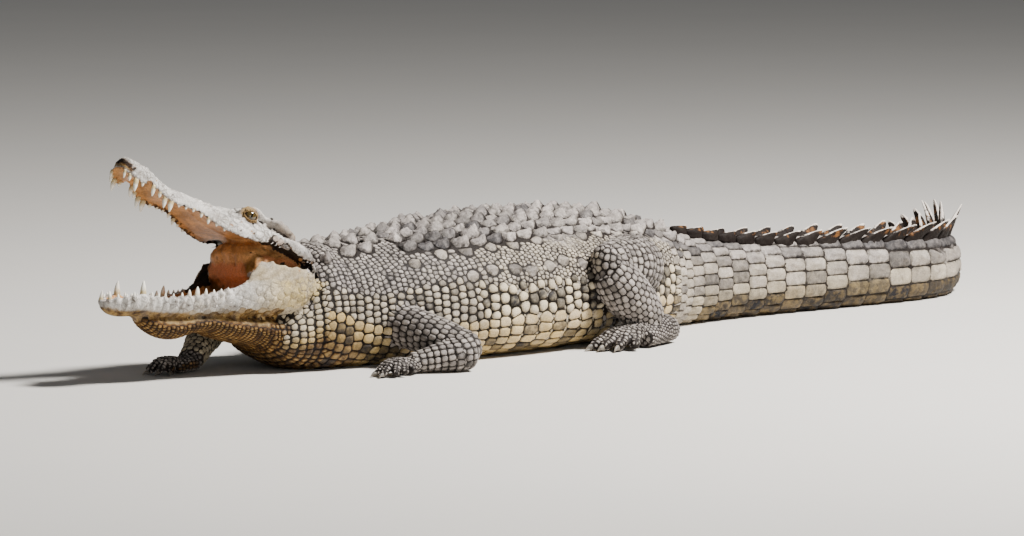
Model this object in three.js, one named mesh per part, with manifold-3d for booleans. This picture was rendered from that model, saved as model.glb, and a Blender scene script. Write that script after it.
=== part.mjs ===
// A basking crocodile as a still, life-size model: mouth agape, belly, tail and feet on the ground.
// Millimetres. +X runs towards the tail, +Y to the animal's right, +Z up.
// The origin is on the ground under the middle of the belly.
// Stations are counted along the spine, in mm behind the jaw joint.
import * as THREE from "three";
import { mergeVertices } from "three/addons/utils/BufferGeometryUtils.js";
import Module from "manifold-3d";

const wasm = await Module();
wasm.setup();

// ---------------------------------------------------------------- driving dimensions
const GAP = 0.3; // cut between neighbouring pieces
const MIDDLE = 850; // station of the origin
const AROUND = 18; // sides of the body's sections
const STEP = 104; // spacing of the body's sections
const JAW_STATION = 30;
const JAW_JOINT_HEIGHT = 216;
const UPPER_PITCH = 30; // degrees, the upper jaw raised
const LOWER_PITCH = 0.5; // degrees, the lower jaw almost level
const HEAD_ROLL = 5; // degrees, the left side lifted
const EYE = { x: 207, y: 71, z: 77, radius: 19 };

// Where the spine bends in plan: [from, to, degrees], + turns towards the animal's right.
const BENDS = [
  [-100, 380, 7],
  [1250, 1880, -11.5],
  [2150, 3020, 118],
];

// station, half width, bottom, top, height of the widest line as a share,
// upper and lower roundness (1 round, less boxy)
const BODY = [
  [-80, 80, 60, 118, 0.5, 1.0, 0.9],
  [-30, 116, 30, 150, 0.48, 0.95, 0.85],
  [20, 130, 6, 205, 0.44, 0.95, 0.8],
  [55, 142, -2, 276, 0.41, 0.92, 0.78],
  [95, 153, -6, 308, 0.4, 0.9, 0.75],
  [160, 162, -8, 310, 0.38, 0.88, 0.73],
  [240, 182, -8, 310, 0.38, 0.88, 0.7],
  [320, 212, -8, 314, 0.38, 0.88, 0.66],
  [450, 252, -8, 324, 0.37, 0.9, 0.62],
  [620, 282, -8, 336, 0.36, 0.92, 0.6],
  [800, 290, -8, 342, 0.36, 0.92, 0.6],
  [960, 272, -8, 338, 0.37, 0.92, 0.6],
  [1100, 234, -8, 326, 0.38, 0.9, 0.62],
  [1230, 192, -8, 306, 0.4, 0.88, 0.66],
  [1370, 156, -8, 268, 0.42, 0.84, 0.72],
  [1550, 130, -8, 232, 0.44, 0.8, 0.78],
  [1800, 106, -7, 200, 0.46, 0.76, 0.8],
  [2050, 86, -7, 184, 0.47, 0.76, 0.82],
  [2300, 66, -6, 170, 0.48, 0.78, 0.85],
  [2550, 50, -6, 154, 0.48, 0.84, 0.85],
  [2800, 37, -5, 132, 0.48, 0.9, 0.88],
  [3050, 24, -4, 88, 0.48, 1.0, 0.9],
  [3200, 14, -3, 50, 0.48, 1.0, 0.9],
  [3270, 6, -2, 22, 0.48, 1.0, 0.9],
];

// The tail's crest: blades in two rows that draw together, then in one row. Each whorl of blades stands on
// one ring of the tail's plates.
const CREST = { from: 1400, merge: 2500, to: 3190, thick: 5 };
// station, height of the blades, half distance between the two rows, length of a whorl,
// lean of the blades outwards and backwards, as shares of their height
const CREST_SHAPE = [
  [1400, 11, 72, 60, 0.15, 0.2],
  [1600, 17, 62, 67, 0.2, 0.4],
  [1800, 26, 54, 73, 0.35, 0.7],
  [2000, 34, 46, 77, 0.5, 0.9],
  [2150, 38, 38, 75, 0.6, 0.95],
  [2300, 47, 29, 70, 0.55, 0.75],
  [2400, 66, 21, 65, 0.5, 0.5],
  [2480, 90, 13, 61, 0.4, 0.4],
  [2580, 92, 8, 57, 0.4, 0.45],
  [2680, 74, 6, 53, 0.3, 0.5],
  [2770, 50, 6, 49, 0.3, 0.5],
  [2860, 36, 6, 45, 0.3, 0.5],
  [3000, 26, 6, 40, 0.3, 0.5],
  [3190, 12, 6, 30, 0.3, 0.5],
];

// Upper head, forward of the jaw joint: x, half width, height of the lip and the dome,
// half width and height of the flat roof, roundness
const SKULL = [
  [-30, 112, 22, 40, 40, 38, 1.0],
  [0, 136, 20, 60, 44, 60, 1.0],
  [35, 139, 24, 74, 55, 84, 1.0],
  [60, 137, 26, 81, 62, 103, 1.0],
  [110, 131, 25, 84, 58, 103, 1.0],
  [160, 119, 18, 84, 54, 98, 0.9],
  [205, 106, 9, 80, 55, 91, 0.85],
  [250, 92, 4, 68, 42, 74, 0.8],
  [300, 79, 6, 60, 30, 60, 0.8],
  [345, 68, 12, 54, 24, 54, 0.8],
  [385, 62, 7, 52, 20, 52, 0.8],
  [425, 63, 0, 48, 20, 48, 0.8],
  [455, 59, 1, 47, 18, 47, 0.8],
  [480, 52, 8, 54, 16, 54, 0.8],
  [500, 46, 17, 61, 16, 61, 0.8],
  [518, 50, 7, 62, 16, 62, 0.8],
  [540, 51, 2, 60, 16, 60, 0.85],
  [559, 42, 6, 54, 14, 54, 0.9],
  [573, 28, 13, 48, 10, 48, 0.95],
  [579, 10, 22, 36, 4, 36, 1.0],
];

// Lower jaw, forward of the jaw joint: x, half width, rim, depth below the rim, wall thickness, trough depth
const MANDIBLE = [
  [-48, 92, -4, 34, 30, 2],
  [-20, 122, 0, 64, 30, 3],
  [30, 134, 0, 88, 30, 4],
  [90, 128, -2, 90, 28, 8],
  [150, 116, 2, 90, 24, 16],
  [200, 104, -3, 82, 22, 22],
  [250, 90, -14, 66, 20, 26],
  [310, 76, -20, 57, 17, 25],
  [370, 66, -19, 52, 15, 22],
  [425, 58, -17, 48, 13, 16],
  [462, 58, -9, 50, 13, 12],
  [486, 61, -6, 51, 13, 10],
  [512, 54, -10, 46, 12, 8],
  [536, 40, -11, 39, 11, 6],
  [552, 23, -12, 30, 10, 3],
  [559, 8, -16, 20, 6, 1],
];

// Skin bag under the lower jaw: x, half width, top and bottom below the jaw joint
const POUCH = [
  [20, 96, -70, -186],
  [90, 94, -70, -162],
  [160, 84, -66, -142],
  [215, 74, -62, -128],
  [262, 67, -60, -109],
  [305, 60, -58, -111],
  [350, 52, -57, -121],
  [395, 44, -56, -114],
  [435, 34, -52, -92],
  [466, 14, -50, -66],
];

// Muscle flaps at the corners of the mouth: x, inner and outer half width, bottom, top
const FLAP = [
  [-6, 118, 134, -30, 22],
  [40, 112, 133, -30, 34],
  [90, 104, 128, -28, 48],
  [132, 99, 120, -26, 58],
  [152, 98, 115, -22, 56],
  [176, 96, 108, -20, 26],
  [214, 90, 98, -18, 0],
];

// The back of the mouth, between the jaws: x, half width, bottom, top
const THROAT = [
  [-10, 90, -30, 60],
  [50, 96, -34, 92],
  [110, 95, -38, 104],
  [146, 92, -40, 104],
  [162, 70, -36, 84],
];

// Tongue, flat on the floor of the mouth: x, half width, bottom, top
const TONGUE = [
  [150, 60, -40, -8],
  [220, 58, -50, -22],
  [300, 46, -50, -30],
  [370, 34, -46, -31],
  [400, 16, -42, -33],
];

// Limbs: rows of x, y, z, half width and half height of the flesh, from the body outwards.
const LIMBS = {
  left_front: {
    upper: [[-570, -110, 110, 60, 58], [-578, -195, 98, 58, 54], [-560, -285, 76, 54, 50],
      [-540, -348, 55, 46, 44]],
    lower: [[-540, -360, 48, 46, 45], [-580, -350, 42, 45, 42], [-630, -320, 34, 36, 32],
      [-675, -292, 27, 33, 26]],
    foot: [-675, -292, 24],
    toward: [-0.86, -0.18],
  },
  right_front: {
    upper: [[-636, 140, 128, 58, 56], [-696, 182, 120, 55, 52], [-792, 210, 104, 49, 49],
      [-864, 208, 88, 45, 45]],
    lower: [[-872, 206, 86, 45, 44], [-922, 180, 66, 42, 39], [-973, 150, 46, 36, 34],
      [-1017, 124, 33, 34, 28]],
    foot: [-1019, 123, 27],
    toward: [-0.97, 0.24],
  },
  left_hind: {
    upper: [[300, -90, 165, 96, 96], [262, -170, 178, 98, 92], [170, -250, 198, 80, 74],
      [80, -292, 212, 60, 62], [40, -300, 214, 48, 52]],
    lower: [[30, -306, 204, 54, 52], [60, -312, 172, 64, 60], [104, -316, 130, 67, 62],
      [148, -320, 92, 58, 54], [176, -324, 64, 50, 46]],
    foot: [234, -324, 46],
    toward: [-0.993, -0.12],
  },
  right_hind: {
    upper: [[300, 90, 165, 96, 96], [258, 175, 172, 98, 90], [170, 262, 180, 80, 72],
      [96, 318, 184, 60, 60], [62, 334, 182, 48, 50]],
    lower: [[54, 342, 172, 54, 50], [80, 350, 148, 62, 56], [120, 354, 114, 64, 58],
      [162, 358, 84, 56, 50], [186, 360, 62, 50, 44]],
    foot: [242, 362, 46],
    toward: [-0.96, 0.28],
  },
};

// Feet: length, half width and thickness of the palm, then the toes: their angles from the
// foot's line in degrees, inner toe first, their lengths and half thickness. The inner three have claws.
const FEET = {
  front: {
    palm: 58, half: 40, thick: 27,
    spread: [-48, -25, -3, 19, 42], toes: [58, 74, 80, 70, 52], toe: 12, claw: 17,
  },
  hind: {
    palm: 128, half: 52, thick: 48,
    spread: [-17, -5, 9, 25], toes: [160, 154, 140, 114], toe: 16, claw: 22,
  },
};
const CLAWED_TOES = 3;

// The larger teeth: x, length, root radius, lean outwards (degrees). Longest where the jaw swells.
const UPPER_TEETH = [
  [560, 15, 5, 8], [543, 25, 7, 10], [526, 15, 5.5, 8], [487, 19, 6, 8], [451, 21, 6.5, 8], [432, 24, 7.5, 8],
  [410, 16, 5.5, 8], [388, 14, 5, 8], [318, 13, 5, 8],
];
const LOWER_TEETH = [
  [551, 22, 5.5, -4], [474, 36, 8.5, 4], [428, 13, 5, 8], [362, 12, 5, 6], [341, 17, 6, 4], [318, 26, 7.5, 4],
  [296, 16, 5.5, 4], [275, 13, 5, 4],
];

// ---------------------------------------------------------------- small helpers
const radians = THREE.MathUtils.degToRad;
const clamp = THREE.MathUtils.clamp;
const ramp = (t) => THREE.MathUtils.smoothstep(t, 0, 1);
const vector = (x, y, z) => new THREE.Vector3(x, y, z);
const power = (value, exponent) => Math.sign(value) * Math.abs(value) ** exponent;

// A smooth curve through rows of numbers, looked up by the first number.
function profile(rows) {
  const slopes = rows.map((row, i) => {
    const before = rows[Math.max(i - 1, 0)];
    const after = rows[Math.min(i + 1, rows.length - 1)];
    return row.map((_, k) => (after[k] - before[k]) / (after[0] - before[0]));
  });
  return (at) => {
    let i = 0;
    while (i < rows.length - 2 && at > rows[i + 1][0]) i++;
    const span = rows[i + 1][0] - rows[i][0];
    const t = clamp((at - rows[i][0]) / span, 0, 1);
    const [t2, t3] = [t * t, t * t * t];
    return rows[i].slice(1).map((value, k) => {
      const enter = slopes[i][k + 1] * span;
      const leave = slopes[i + 1][k + 1] * span;
      return (2 * t3 - 3 * t2 + 1) * value + (t3 - 2 * t2 + t) * enter
        + (3 * t2 - 2 * t3) * rows[i + 1][k + 1] + (t3 - t2) * leave;
    });
  };
}

// A closed skin over rings of points, with a flat cap at each end.
function loft(rings) {
  const count = rings[0].length;
  const points = rings.flat();
  const index = [];
  for (let r = 0; r < rings.length - 1; r++)
    for (let i = 0; i < count; i++) {
      const next = (i + 1) % count;
      const [a, b] = [r * count + i, r * count + next];
      index.push(a, b, b + count, a, b + count, a + count);
    }
  for (const end of [0, rings.length - 1])
    for (let i = 1; i < count - 1; i++) {
      const corners = [end * count, end * count + i + 1, end * count + i];
      index.push(...(end === 0 ? corners : corners.reverse()));
    }
  const positions = points.flatMap((p) => p.toArray());
  return new THREE.BufferGeometry()
    .setAttribute("position", new THREE.Float32BufferAttribute(positions, 3))
    .setIndex(index);
}

// The first numbers of the rows, with the two ends moved outwards.
function endsGrown(rows, grow) {
  const last = rows.length - 1;
  return rows.map(([at], i) => at + (i === 0 ? -grow : i === last ? grow : 0));
}

// A three.js geometry as a manifold solid that faces outwards.
function solid(geometry) {
  const bare = new THREE.BufferGeometry().setAttribute("position", geometry.getAttribute("position"));
  bare.setIndex(geometry.index);
  const merged = mergeVertices(bare, 1e-3);
  const mesh = (flip) => {
    const triVerts = new Uint32Array(merged.index.array);
    for (let i = 0; flip && i < triVerts.length; i += 3)
      [triVerts[i + 1], triVerts[i + 2]] = [triVerts[i + 2], triVerts[i + 1]];
    const vertProperties = new Float32Array(merged.getAttribute("position").array);
    return new wasm.Manifold(new wasm.Mesh({ numProp: 3, vertProperties, triVerts }));
  };
  const made = mesh(false);
  return made.volume() < 0 ? mesh(true) : made;
}

const join = (solids) => solids.reduce((sum, next) => sum.add(next));
const cut = (from, ...tools) => tools.reduce((left, tool) => left.subtract(tool), from);

// The largest closed piece of a solid, without crumbs left by a cut.
function mainPiece(manifold) {
  return manifold.decompose().reduce((a, b) => (b.volume() > a.volume() ? b : a));
}

function geometryOf(manifold) {
  const mesh = manifold.getMesh();
  const points = new Float32Array(mesh.numVert * 3);
  for (let i = 0; i < mesh.numVert; i++)
    points.set(mesh.vertProperties.subarray(i * mesh.numProp, i * mesh.numProp + 3), i * 3);
  const geometry = new THREE.BufferGeometry()
    .setAttribute("position", new THREE.BufferAttribute(points, 3))
    .setIndex(new THREE.BufferAttribute(mesh.triVerts, 1));
  geometry.computeVertexNormals();
  return geometry;
}

// ---------------------------------------------------------------- materials
const FINISHES = {
  back: { color: 0xa19b8b, roughness: 0.85 }, // grey hide under dried mud
  limb: { color: 0x6d6a5e, roughness: 0.85 },
  pouch: { color: 0x6a5638, roughness: 0.8 },
  mouth: { color: 0xc98a4a, roughness: 0.5 },
  eye: { color: 0x8a7a34, roughness: 0.1 },
  claw: { color: 0x2c2822, roughness: 0.45 },
};

// ---------------------------------------------------------------- the scene graph
const model = new THREE.Group();

// A group in the animal, placed and turned by a matrix.
function groupAt(matrix) {
  const group = new THREE.Group();
  group.applyMatrix4(matrix);
  model.add(group);
  group.updateMatrixWorld(true);
  return group;
}

// Puts a solid, given in the animal's frame, into a group as a named mesh.
function place(name, manifold, finish, group = model) {
  const toGroup = group.matrixWorld.clone().invert();
  const geometry = geometryOf(mainPiece(manifold.transform(toGroup.elements)));
  const material = new THREE.MeshStandardMaterial({ ...FINISHES[finish], metalness: 0 });
  const mesh = new THREE.Mesh(geometry, material);
  mesh.name = name;
  group.add(mesh);
}

// ---------------------------------------------------------------- the spine and the body
function heading(station) {
  const turned = (at) => BENDS.reduce((sum, [a, b, deg]) => sum + deg * ramp((at - a) / (b - a)), 0);
  return radians(turned(station) - turned(MIDDLE));
}

// The point on the ground under the spine at a station.
function spine(station) {
  const pieces = 160;
  const step = (station - MIDDLE) / pieces;
  const at = vector(0, 0, 0);
  for (let i = 0; i < pieces; i++) {
    const angle = heading(MIDDLE + (i + 0.5) * step);
    at.x += Math.cos(angle) * step;
    at.y += Math.sin(angle) * step;
  }
  return at;
}

const bodyShape = profile(BODY);

// One point of the body's surface. The angle starts at the animal's right and goes over the back.
function bodyPoint(station, base, angle, grow) {
  const [half, bottom, top, widest, upper, lower] = bodyShape(station);
  const middle = bottom + widest * (top - bottom);
  const [c, s] = [Math.cos(angle), Math.sin(angle)];
  const side = (half + grow) * power(c, s > 0 ? upper : lower);
  const height = s > 0
    ? middle + (top - middle + grow) * s ** upper
    : middle - (middle - bottom + grow) * (-s) ** lower;
  const turn = heading(station);
  return vector(base.x - Math.sin(turn) * side, base.y + Math.cos(turn) * side, Math.max(height, -grow));
}

const crestShape = profile(CREST_SHAPE);

// Stations at which the whorls start.
const WHORLS = [CREST.from];
while (WHORLS.at(-1) < CREST.to) WHORLS.push(WHORLS.at(-1) + crestShape(WHORLS.at(-1))[2]);

// The parts of the body between two stations. The tail is cut between whorls of its crest.
const BODY_PARTS = {
  neck: [-80, 300],
  chest: [300, 660],
  belly: [660, 1030],
  hips: [1030, 1370],
  tail_1: [1370, WHORLS[5]],
  tail_2: [WHORLS[5], WHORLS[9]],
  tail_3: [WHORLS[9], WHORLS[14]],
  tail_4: [WHORLS[14], WHORLS[21]],
  tail_5: [WHORLS[21], 3270],
};

function bodyLength(name, grow = 0) {
  const [from, to] = BODY_PARTS[name];
  const count = Math.max(2, Math.round((to - from) / STEP));
  const stations = Array.from({ length: count + 1 }, (_, i) => [from + ((to - GAP - from) * i) / count]);
  const rings = endsGrown(stations, grow).map((station) => {
    const base = spine(station);
    return Array.from({ length: AROUND }, (_, k) =>
      bodyPoint(station, base, (2 * Math.PI * (k + 0.5)) / AROUND, grow));
  });
  return solid(loft(rings));
}

// One blade of the crest: a thin wedge, pointed in front, that leans back and outwards.
function crestBlade(station, side) {
  const [height, out, length, outward, backward] = crestShape(station);
  const low = -10 - side ** 2 * out * 0.12;
  const at = (along, across, up) => {
    const base = spine(station + along);
    const turn = heading(station + along);
    const top = bodyShape(station + along)[2];
    return vector(base.x - Math.sin(turn) * across, base.y + Math.cos(turn) * across, top + up);
  };
  const foot = [[0, 0], [length * 0.96, 1], [length * 0.96, -1]].map(([along, edge]) =>
    at(along, side * out + edge * CREST.thick, low));
  const back = backward * height;
  const tip = side * (out + outward * height);
  const ridge = [[length * 0.6, 0], [length * 0.95, 1], [length * 0.95, -1]].map(([along, edge]) =>
    at(along + back, tip + edge, height));
  return solid(loft([foot, ridge]));
}

function crestBlades(from, to, next) {
  const blades = [];
  for (const station of WHORLS) {
    if (station < from || station >= Math.min(to, CREST.to)) continue;
    const sides = station < CREST.merge ? [-1, 1] : [0];
    for (const side of sides) blades.push(cut(crestBlade(station, side), ...next));
  }
  return blades;
}

// ---------------------------------------------------------------- the head
// The head's frame at the jaw joint: +X forward, +Y to the animal's left, +Z up, then pitched.
function headMatrix(pitch) {
  const base = spine(JAW_STATION);
  const turn = heading(JAW_STATION);
  const forward = vector(-Math.cos(turn), -Math.sin(turn), 0);
  const left = vector(Math.sin(turn), -Math.cos(turn), 0);
  const frame = new THREE.Matrix4().makeBasis(forward, left, vector(0, 0, 1));
  const roll = new THREE.Matrix4().makeRotationX(radians(HEAD_ROLL));
  const raise = new THREE.Matrix4().makeRotationY(-radians(pitch));
  return frame.multiply(roll).multiply(raise).setPosition(base.x, base.y, JAW_JOINT_HEIGHT);
}

const skullShape = profile(SKULL);
const mandibleShape = profile(MANDIBLE);

// The crown of the head over one section, from the right lip to the left lip.
function crownPoint(x, angle, grow) {
  const [half, lip, dome, tableHalf, table, round] = skullShape(x);
  const y = (half + grow) * power(Math.cos(angle), 0.9);
  const domed = lip + (dome - lip) * Math.sin(angle) ** round;
  const shelf = lip + (table - lip) * ramp((tableHalf + 16 - Math.abs(y)) / 18);
  const brow = 11 * Math.exp(-(((x - 208) / 30) ** 2)) * Math.exp(-(((Math.abs(y) - 50) / 16) ** 2));
  if (Math.sin(angle) < 0.01) return vector(x, y, lip - grow);
  return vector(x, y, Math.max(domed, shelf) + brow + grow);
}

function skullRing(x, grow) {
  const top = 15;
  const under = 4;
  const ring = [];
  for (let i = 0; i < top; i++) ring.push(crownPoint(x, (Math.PI * i) / (top - 1), grow));
  const [half, lip] = skullShape(x);
  for (let i = 1; i <= under; i++) {
    const angle = (Math.PI * i) / (under + 1);
    const arch = Math.min(14, half * 0.3) * Math.sin(angle);
    ring.push(vector(x, -half * 0.9 * Math.cos(angle), lip + arch - 2 * grow));
  }
  return ring;
}

function skullLoft(grow = 0) {
  return solid(loft(endsGrown(SKULL, grow).map((x) => skullRing(x, grow))));
}

function jawRing(x, grow) {
  const [half, rim, depth, wall, trough] = mandibleShape(x);
  const ring = [];
  const under = 11;
  for (let i = 0; i < under; i++) {
    const angle = (Math.PI * i) / (under - 1);
    const y = -(half + grow) * power(Math.cos(angle), 0.8);
    ring.push(vector(x, y, rim - (depth + grow) * Math.sin(angle) ** 0.75));
  }
  const inner = Math.max(half - wall, half * 0.3);
  const floor = [[half - 3, 4], [inner, 2], [inner * 0.9, -trough * 0.8], [0, -trough]];
  for (const [y, up] of floor) ring.push(vector(x, y, rim + up + grow));
  for (const [y, up] of floor.slice(0, 3).reverse()) ring.push(vector(x, -y, rim + up + grow));
  return ring;
}

function jawLoft(grow = 0) {
  return solid(loft(endsGrown(MANDIBLE, grow).map((x) => jawRing(x, grow))));
}

// A tooth: a four-sided cone rooted in the jaw. up is -1 for an upper tooth, +1 for a lower one.
function tooth(x, side, root, length, radius, lean, up) {
  const rings = [[-8, 1.1], [length, 0.14]].map(([along, share]) => {
    const out = Math.sin(radians(lean)) * along;
    return Array.from({ length: 4 }, (_, i) => {
      const angle = (2 * Math.PI * i) / 4;
      return vector(
        x + radius * share * Math.cos(angle),
        side * (root.y + out + radius * share * Math.sin(angle)),
        root.z + up * along,
      );
    });
  });
  return solid(loft(rings));
}

function upperTeeth() {
  return UPPER_TEETH.flatMap(([x, length, radius, lean]) => {
    const [half, lip] = skullShape(x);
    const root = { y: Math.max(half - radius - 1, 7), z: lip + 1 };
    return [-1, 1].map((side) => tooth(x, side, root, length, radius, lean, -1));
  });
}

function lowerTeeth() {
  return LOWER_TEETH.flatMap(([x, length, radius, lean]) => {
    const [half, rim] = mandibleShape(x);
    const root = { y: Math.max(half - radius - 2, 7), z: rim + 3 };
    return [-1, 1].map((side) => tooth(x, side, root, length, radius, lean, 1));
  });
}

// A lobe along the head: rows of x, half width, bottom, top. Its sections are round, or boxy below 1.
function lobe(rows, grow = 0, { sides = 12, boxy = 1, middleY = () => 0 } = {}) {
  const rings = rows.map(([x, half, bottom, top], i) => {
    const end = i === 0 ? -grow : i === rows.length - 1 ? grow : 0;
    const [middle, tall] = [(top + bottom) / 2, (top - bottom) / 2];
    return Array.from({ length: sides }, (_, k) => {
      const angle = (2 * Math.PI * (k + 0.5)) / sides;
      const y = middleY(i) + (half + grow) * power(Math.cos(angle), boxy);
      return vector(x + end, y, middle + (tall + grow) * power(Math.sin(angle), boxy));
    });
  });
  return solid(loft(rings));
}

function flap(side, grow = 0) {
  const rows = FLAP.map(([x, inner, outer, bottom, top]) => [x, (outer - inner) / 2, bottom, top]);
  return lobe(rows, grow, { sides: 10, middleY: (i) => (side * (FLAP[i][1] + FLAP[i][2])) / 2 });
}

// ---------------------------------------------------------------- limbs
// Flesh along a path: rows of x, y, z, half width, half height. Nothing goes below the ground.
function limb(rows, grow = 0, sides = 8) {
  const centres = rows.map(([x, y, z]) => vector(x, y, z));
  const rings = rows.map(([, , , half, tall], i) => {
    const before = centres[Math.max(i - 1, 0)];
    const after = centres[Math.min(i + 1, rows.length - 1)];
    const along = after.clone().sub(before).normalize();
    const across = along.clone().cross(vector(0, 0, 1)).normalize();
    const up = across.clone().cross(along);
    const end = i === 0 ? -grow : i === rows.length - 1 ? grow : 0;
    return Array.from({ length: sides }, (_, k) => {
      const angle = (2 * Math.PI * (k + 0.5)) / sides;
      const at = centres[i].clone().addScaledVector(along, end);
      at.addScaledVector(across, (half + grow) * Math.cos(angle));
      at.addScaledVector(up, (tall + grow) * Math.sin(angle));
      at.z = Math.max(at.z, -grow);
      return at;
    });
  });
  return solid(loft(rings));
}

// The toes' paths: where each leaves the foot, its middle and its tip.
function toePaths({ foot, toward }, kind, side) {
  const shape = FEET[kind];
  const ahead = Math.atan2(toward[1], toward[0]);
  const line = vector(Math.cos(ahead), Math.sin(ahead), 0);
  return shape.spread.map((degrees, i) => {
    const angle = ahead + side * radians(degrees);
    const root = vector(...foot).addScaledVector(line, shape.palm * 0.8);
    const step = vector(Math.cos(angle), Math.sin(angle), 0);
    const knuckle = root.clone().addScaledVector(step, shape.toes[i] * 0.56);
    const tip = root.clone().addScaledVector(step, shape.toes[i]);
    root.z = shape.thick * 1.05;
    knuckle.z = shape.toe * 2.5;
    tip.z = shape.toe * 0.72;
    return { root, knuckle, tip, step };
  });
}

function footSolid(leg, kind, side, grow = 0) {
  const shape = FEET[kind];
  const [x, y, z] = leg.foot;
  const [tx, ty] = leg.toward;
  const at = (along, height, half, tall) => [x + tx * along, y + ty * along, height, half, tall];
  const palm = limb([
    at(-shape.palm * 0.28, z * 0.55, shape.half * 0.5, z * 0.55),
    at(0, z * 0.8, shape.half * 0.8, z * 0.8),
    at(shape.palm * 0.5, shape.thick * 0.75, shape.half * 0.95, shape.thick * 0.8),
    at(shape.palm, shape.thick * 0.55, shape.half * 1.05, shape.thick * 0.62),
  ], grow);
  const toes = toePaths(leg, kind, side).map(({ root, knuckle, tip }) => limb([
    [...root.toArray(), shape.toe * 1.3, shape.toe * 1.25],
    [...knuckle.toArray(), shape.toe * 1.05, shape.toe],
    [...tip.toArray(), shape.toe * 0.62, shape.toe * 0.66],
  ], grow, 5));
  return join([palm, ...toes]);
}

// A claw: a cone in front of the toe's end.
function claw({ knuckle, tip, step }, kind) {
  const radius = FEET[kind].toe * 0.42;
  const along = tip.clone().sub(knuckle).normalize();
  const start = tip.clone().addScaledVector(along, GAP);
  const point = tip.clone().addScaledVector(step, FEET[kind].claw);
  point.z = 2.6;
  const across = along.clone().cross(vector(0, 0, 1)).normalize();
  const up = across.clone().cross(along);
  const rings = [[start, radius], [point, 1.1]].map(([centre, size]) =>
    Array.from({ length: 5 }, (_, k) => {
      const angle = (2 * Math.PI * (k + 0.5)) / 5;
      const at = centre.clone().addScaledVector(across, size * Math.cos(angle));
      return at.addScaledVector(up, size * Math.sin(angle));
    }));
  return solid(loft(rings));
}

// ---------------------------------------------------------------- the whole animal
const headGroup = groupAt(headMatrix(UPPER_PITCH));
const jawGroup = groupAt(headMatrix(LOWER_PITCH));
const raised = (made) => made.transform(headGroup.matrixWorld.elements);
const lowered = (made) => made.transform(jawGroup.matrixWorld.elements);

// The skull with its teeth, and the eyes
const skull = (grow) => raised(skullLoft(grow));
const eyeball = (side, grow) => raised(solid(new THREE.IcosahedronGeometry(EYE.radius + grow, 1)
  .translate(EYE.x, side * EYE.y, EYE.z)));
const head = join([skull(0), ...upperTeeth().map(raised)]);
place("upper_head", cut(head, eyeball(-1, GAP), eyeball(1, GAP)), "back", headGroup);
for (const [name, side] of [["left_eye", 1], ["right_eye", -1]])
  place(name, eyeball(side, 0), "eye", headGroup);

// The lower jaw with its teeth, the muscles at the corners of the mouth, and what lies between the jaws
const jaw = (grow) => lowered(jawLoft(grow));
const muscle = (side, grow) => lowered(flap(side, grow));
const throat = (grow) => lowered(lobe(THROAT, grow, { boxy: 0.55 }));
const muscles = [muscle(1, GAP), muscle(-1, GAP)];
const lowerJaw = join([jaw(0), ...lowerTeeth().map(lowered)]);
place("lower_jaw", cut(lowerJaw, skull(GAP)), "back", jawGroup);
for (const [name, side] of [["left_jaw_muscle", 1], ["right_jaw_muscle", -1]])
  place(name, cut(muscle(side, 0), skull(GAP), jaw(GAP)), "mouth", jawGroup);
place("throat_valve", cut(throat(0), skull(GAP), jaw(GAP), ...muscles), "mouth", jawGroup);
place("tongue", cut(lowered(lobe(TONGUE)), jaw(GAP), throat(GAP)), "mouth", jawGroup);
place("throat_pouch", cut(lowered(lobe(POUCH)), jaw(GAP), bodyLength("neck", GAP)), "pouch", jawGroup);

// The body and the tail, cut into lengths
const behindJaws = [skull(GAP), jaw(GAP), throat(GAP), ...muscles];
const lengths = Object.keys(BODY_PARTS);
lengths.forEach((name, i) => {
  const next = lengths.slice(i + 1, i + 2).map((other) => bodyLength(other, GAP));
  const made = join([bodyLength(name), ...crestBlades(...BODY_PARTS[name], next)]);
  place(name, name === "neck" ? cut(made, ...behindJaws) : made, "back");
});

// The limbs: an upper and a lower length, and a foot with its claws
const trunk = ["neck", "chest", "belly", "hips"].map((name) => bodyLength(name, GAP));
for (const [name, leg] of Object.entries(LIMBS)) {
  const kind = name.split("_")[1];
  const side = name.startsWith("left") ? 1 : -1;
  const limbGroup = groupAt(new THREE.Matrix4().setPosition(...leg.upper[0].slice(0, 3)));
  const lowerLength = cut(limb(leg.lower), footSolid(leg, kind, side, GAP), limb(leg.upper, GAP), ...trunk);
  place(`${name}_upper`, cut(limb(leg.upper), ...trunk), "limb", limbGroup);
  place(`${name}_lower`, lowerLength, "limb", limbGroup);
  place(`${name}_foot`, footSolid(leg, kind, side), "limb", limbGroup);
  toePaths(leg, kind, side).slice(0, CLAWED_TOES)
    .forEach((toe, i) => place(`${name}_claw_${i + 1}`, claw(toe, kind), "claw", limbGroup));
}

export default model;
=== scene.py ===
"""A basking crocodile at life size, mouth agape: skin, scales, crest, teeth, eyes and claws.

Lengths in the tables are millimetres. Stations are counted along the spine, behind the jaw joint.
The origin is on the floor under the belly, with the tail towards +X and the animal's right at +Y.
"""

import math

import bpy
import numpy as np
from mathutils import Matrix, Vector, noise
from mathutils.bvhtree import BVHTree
from mathutils.kdtree import KDTree


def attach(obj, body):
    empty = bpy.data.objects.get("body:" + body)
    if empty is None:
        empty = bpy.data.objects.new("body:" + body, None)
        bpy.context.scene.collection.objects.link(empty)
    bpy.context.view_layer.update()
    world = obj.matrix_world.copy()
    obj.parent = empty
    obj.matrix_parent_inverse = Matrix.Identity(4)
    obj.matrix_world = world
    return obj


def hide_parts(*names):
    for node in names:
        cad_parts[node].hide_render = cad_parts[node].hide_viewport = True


bl_info = {
    "name": "Basking crocodile",
    "version": (1, 0, 0),
    "blender": (4, 5, 0),
    "location": "3D View > Sidebar > Crocodile",
    "description": "Builds a life-size crocodile over its packed solids",
    "category": "Add Mesh",
}

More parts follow.
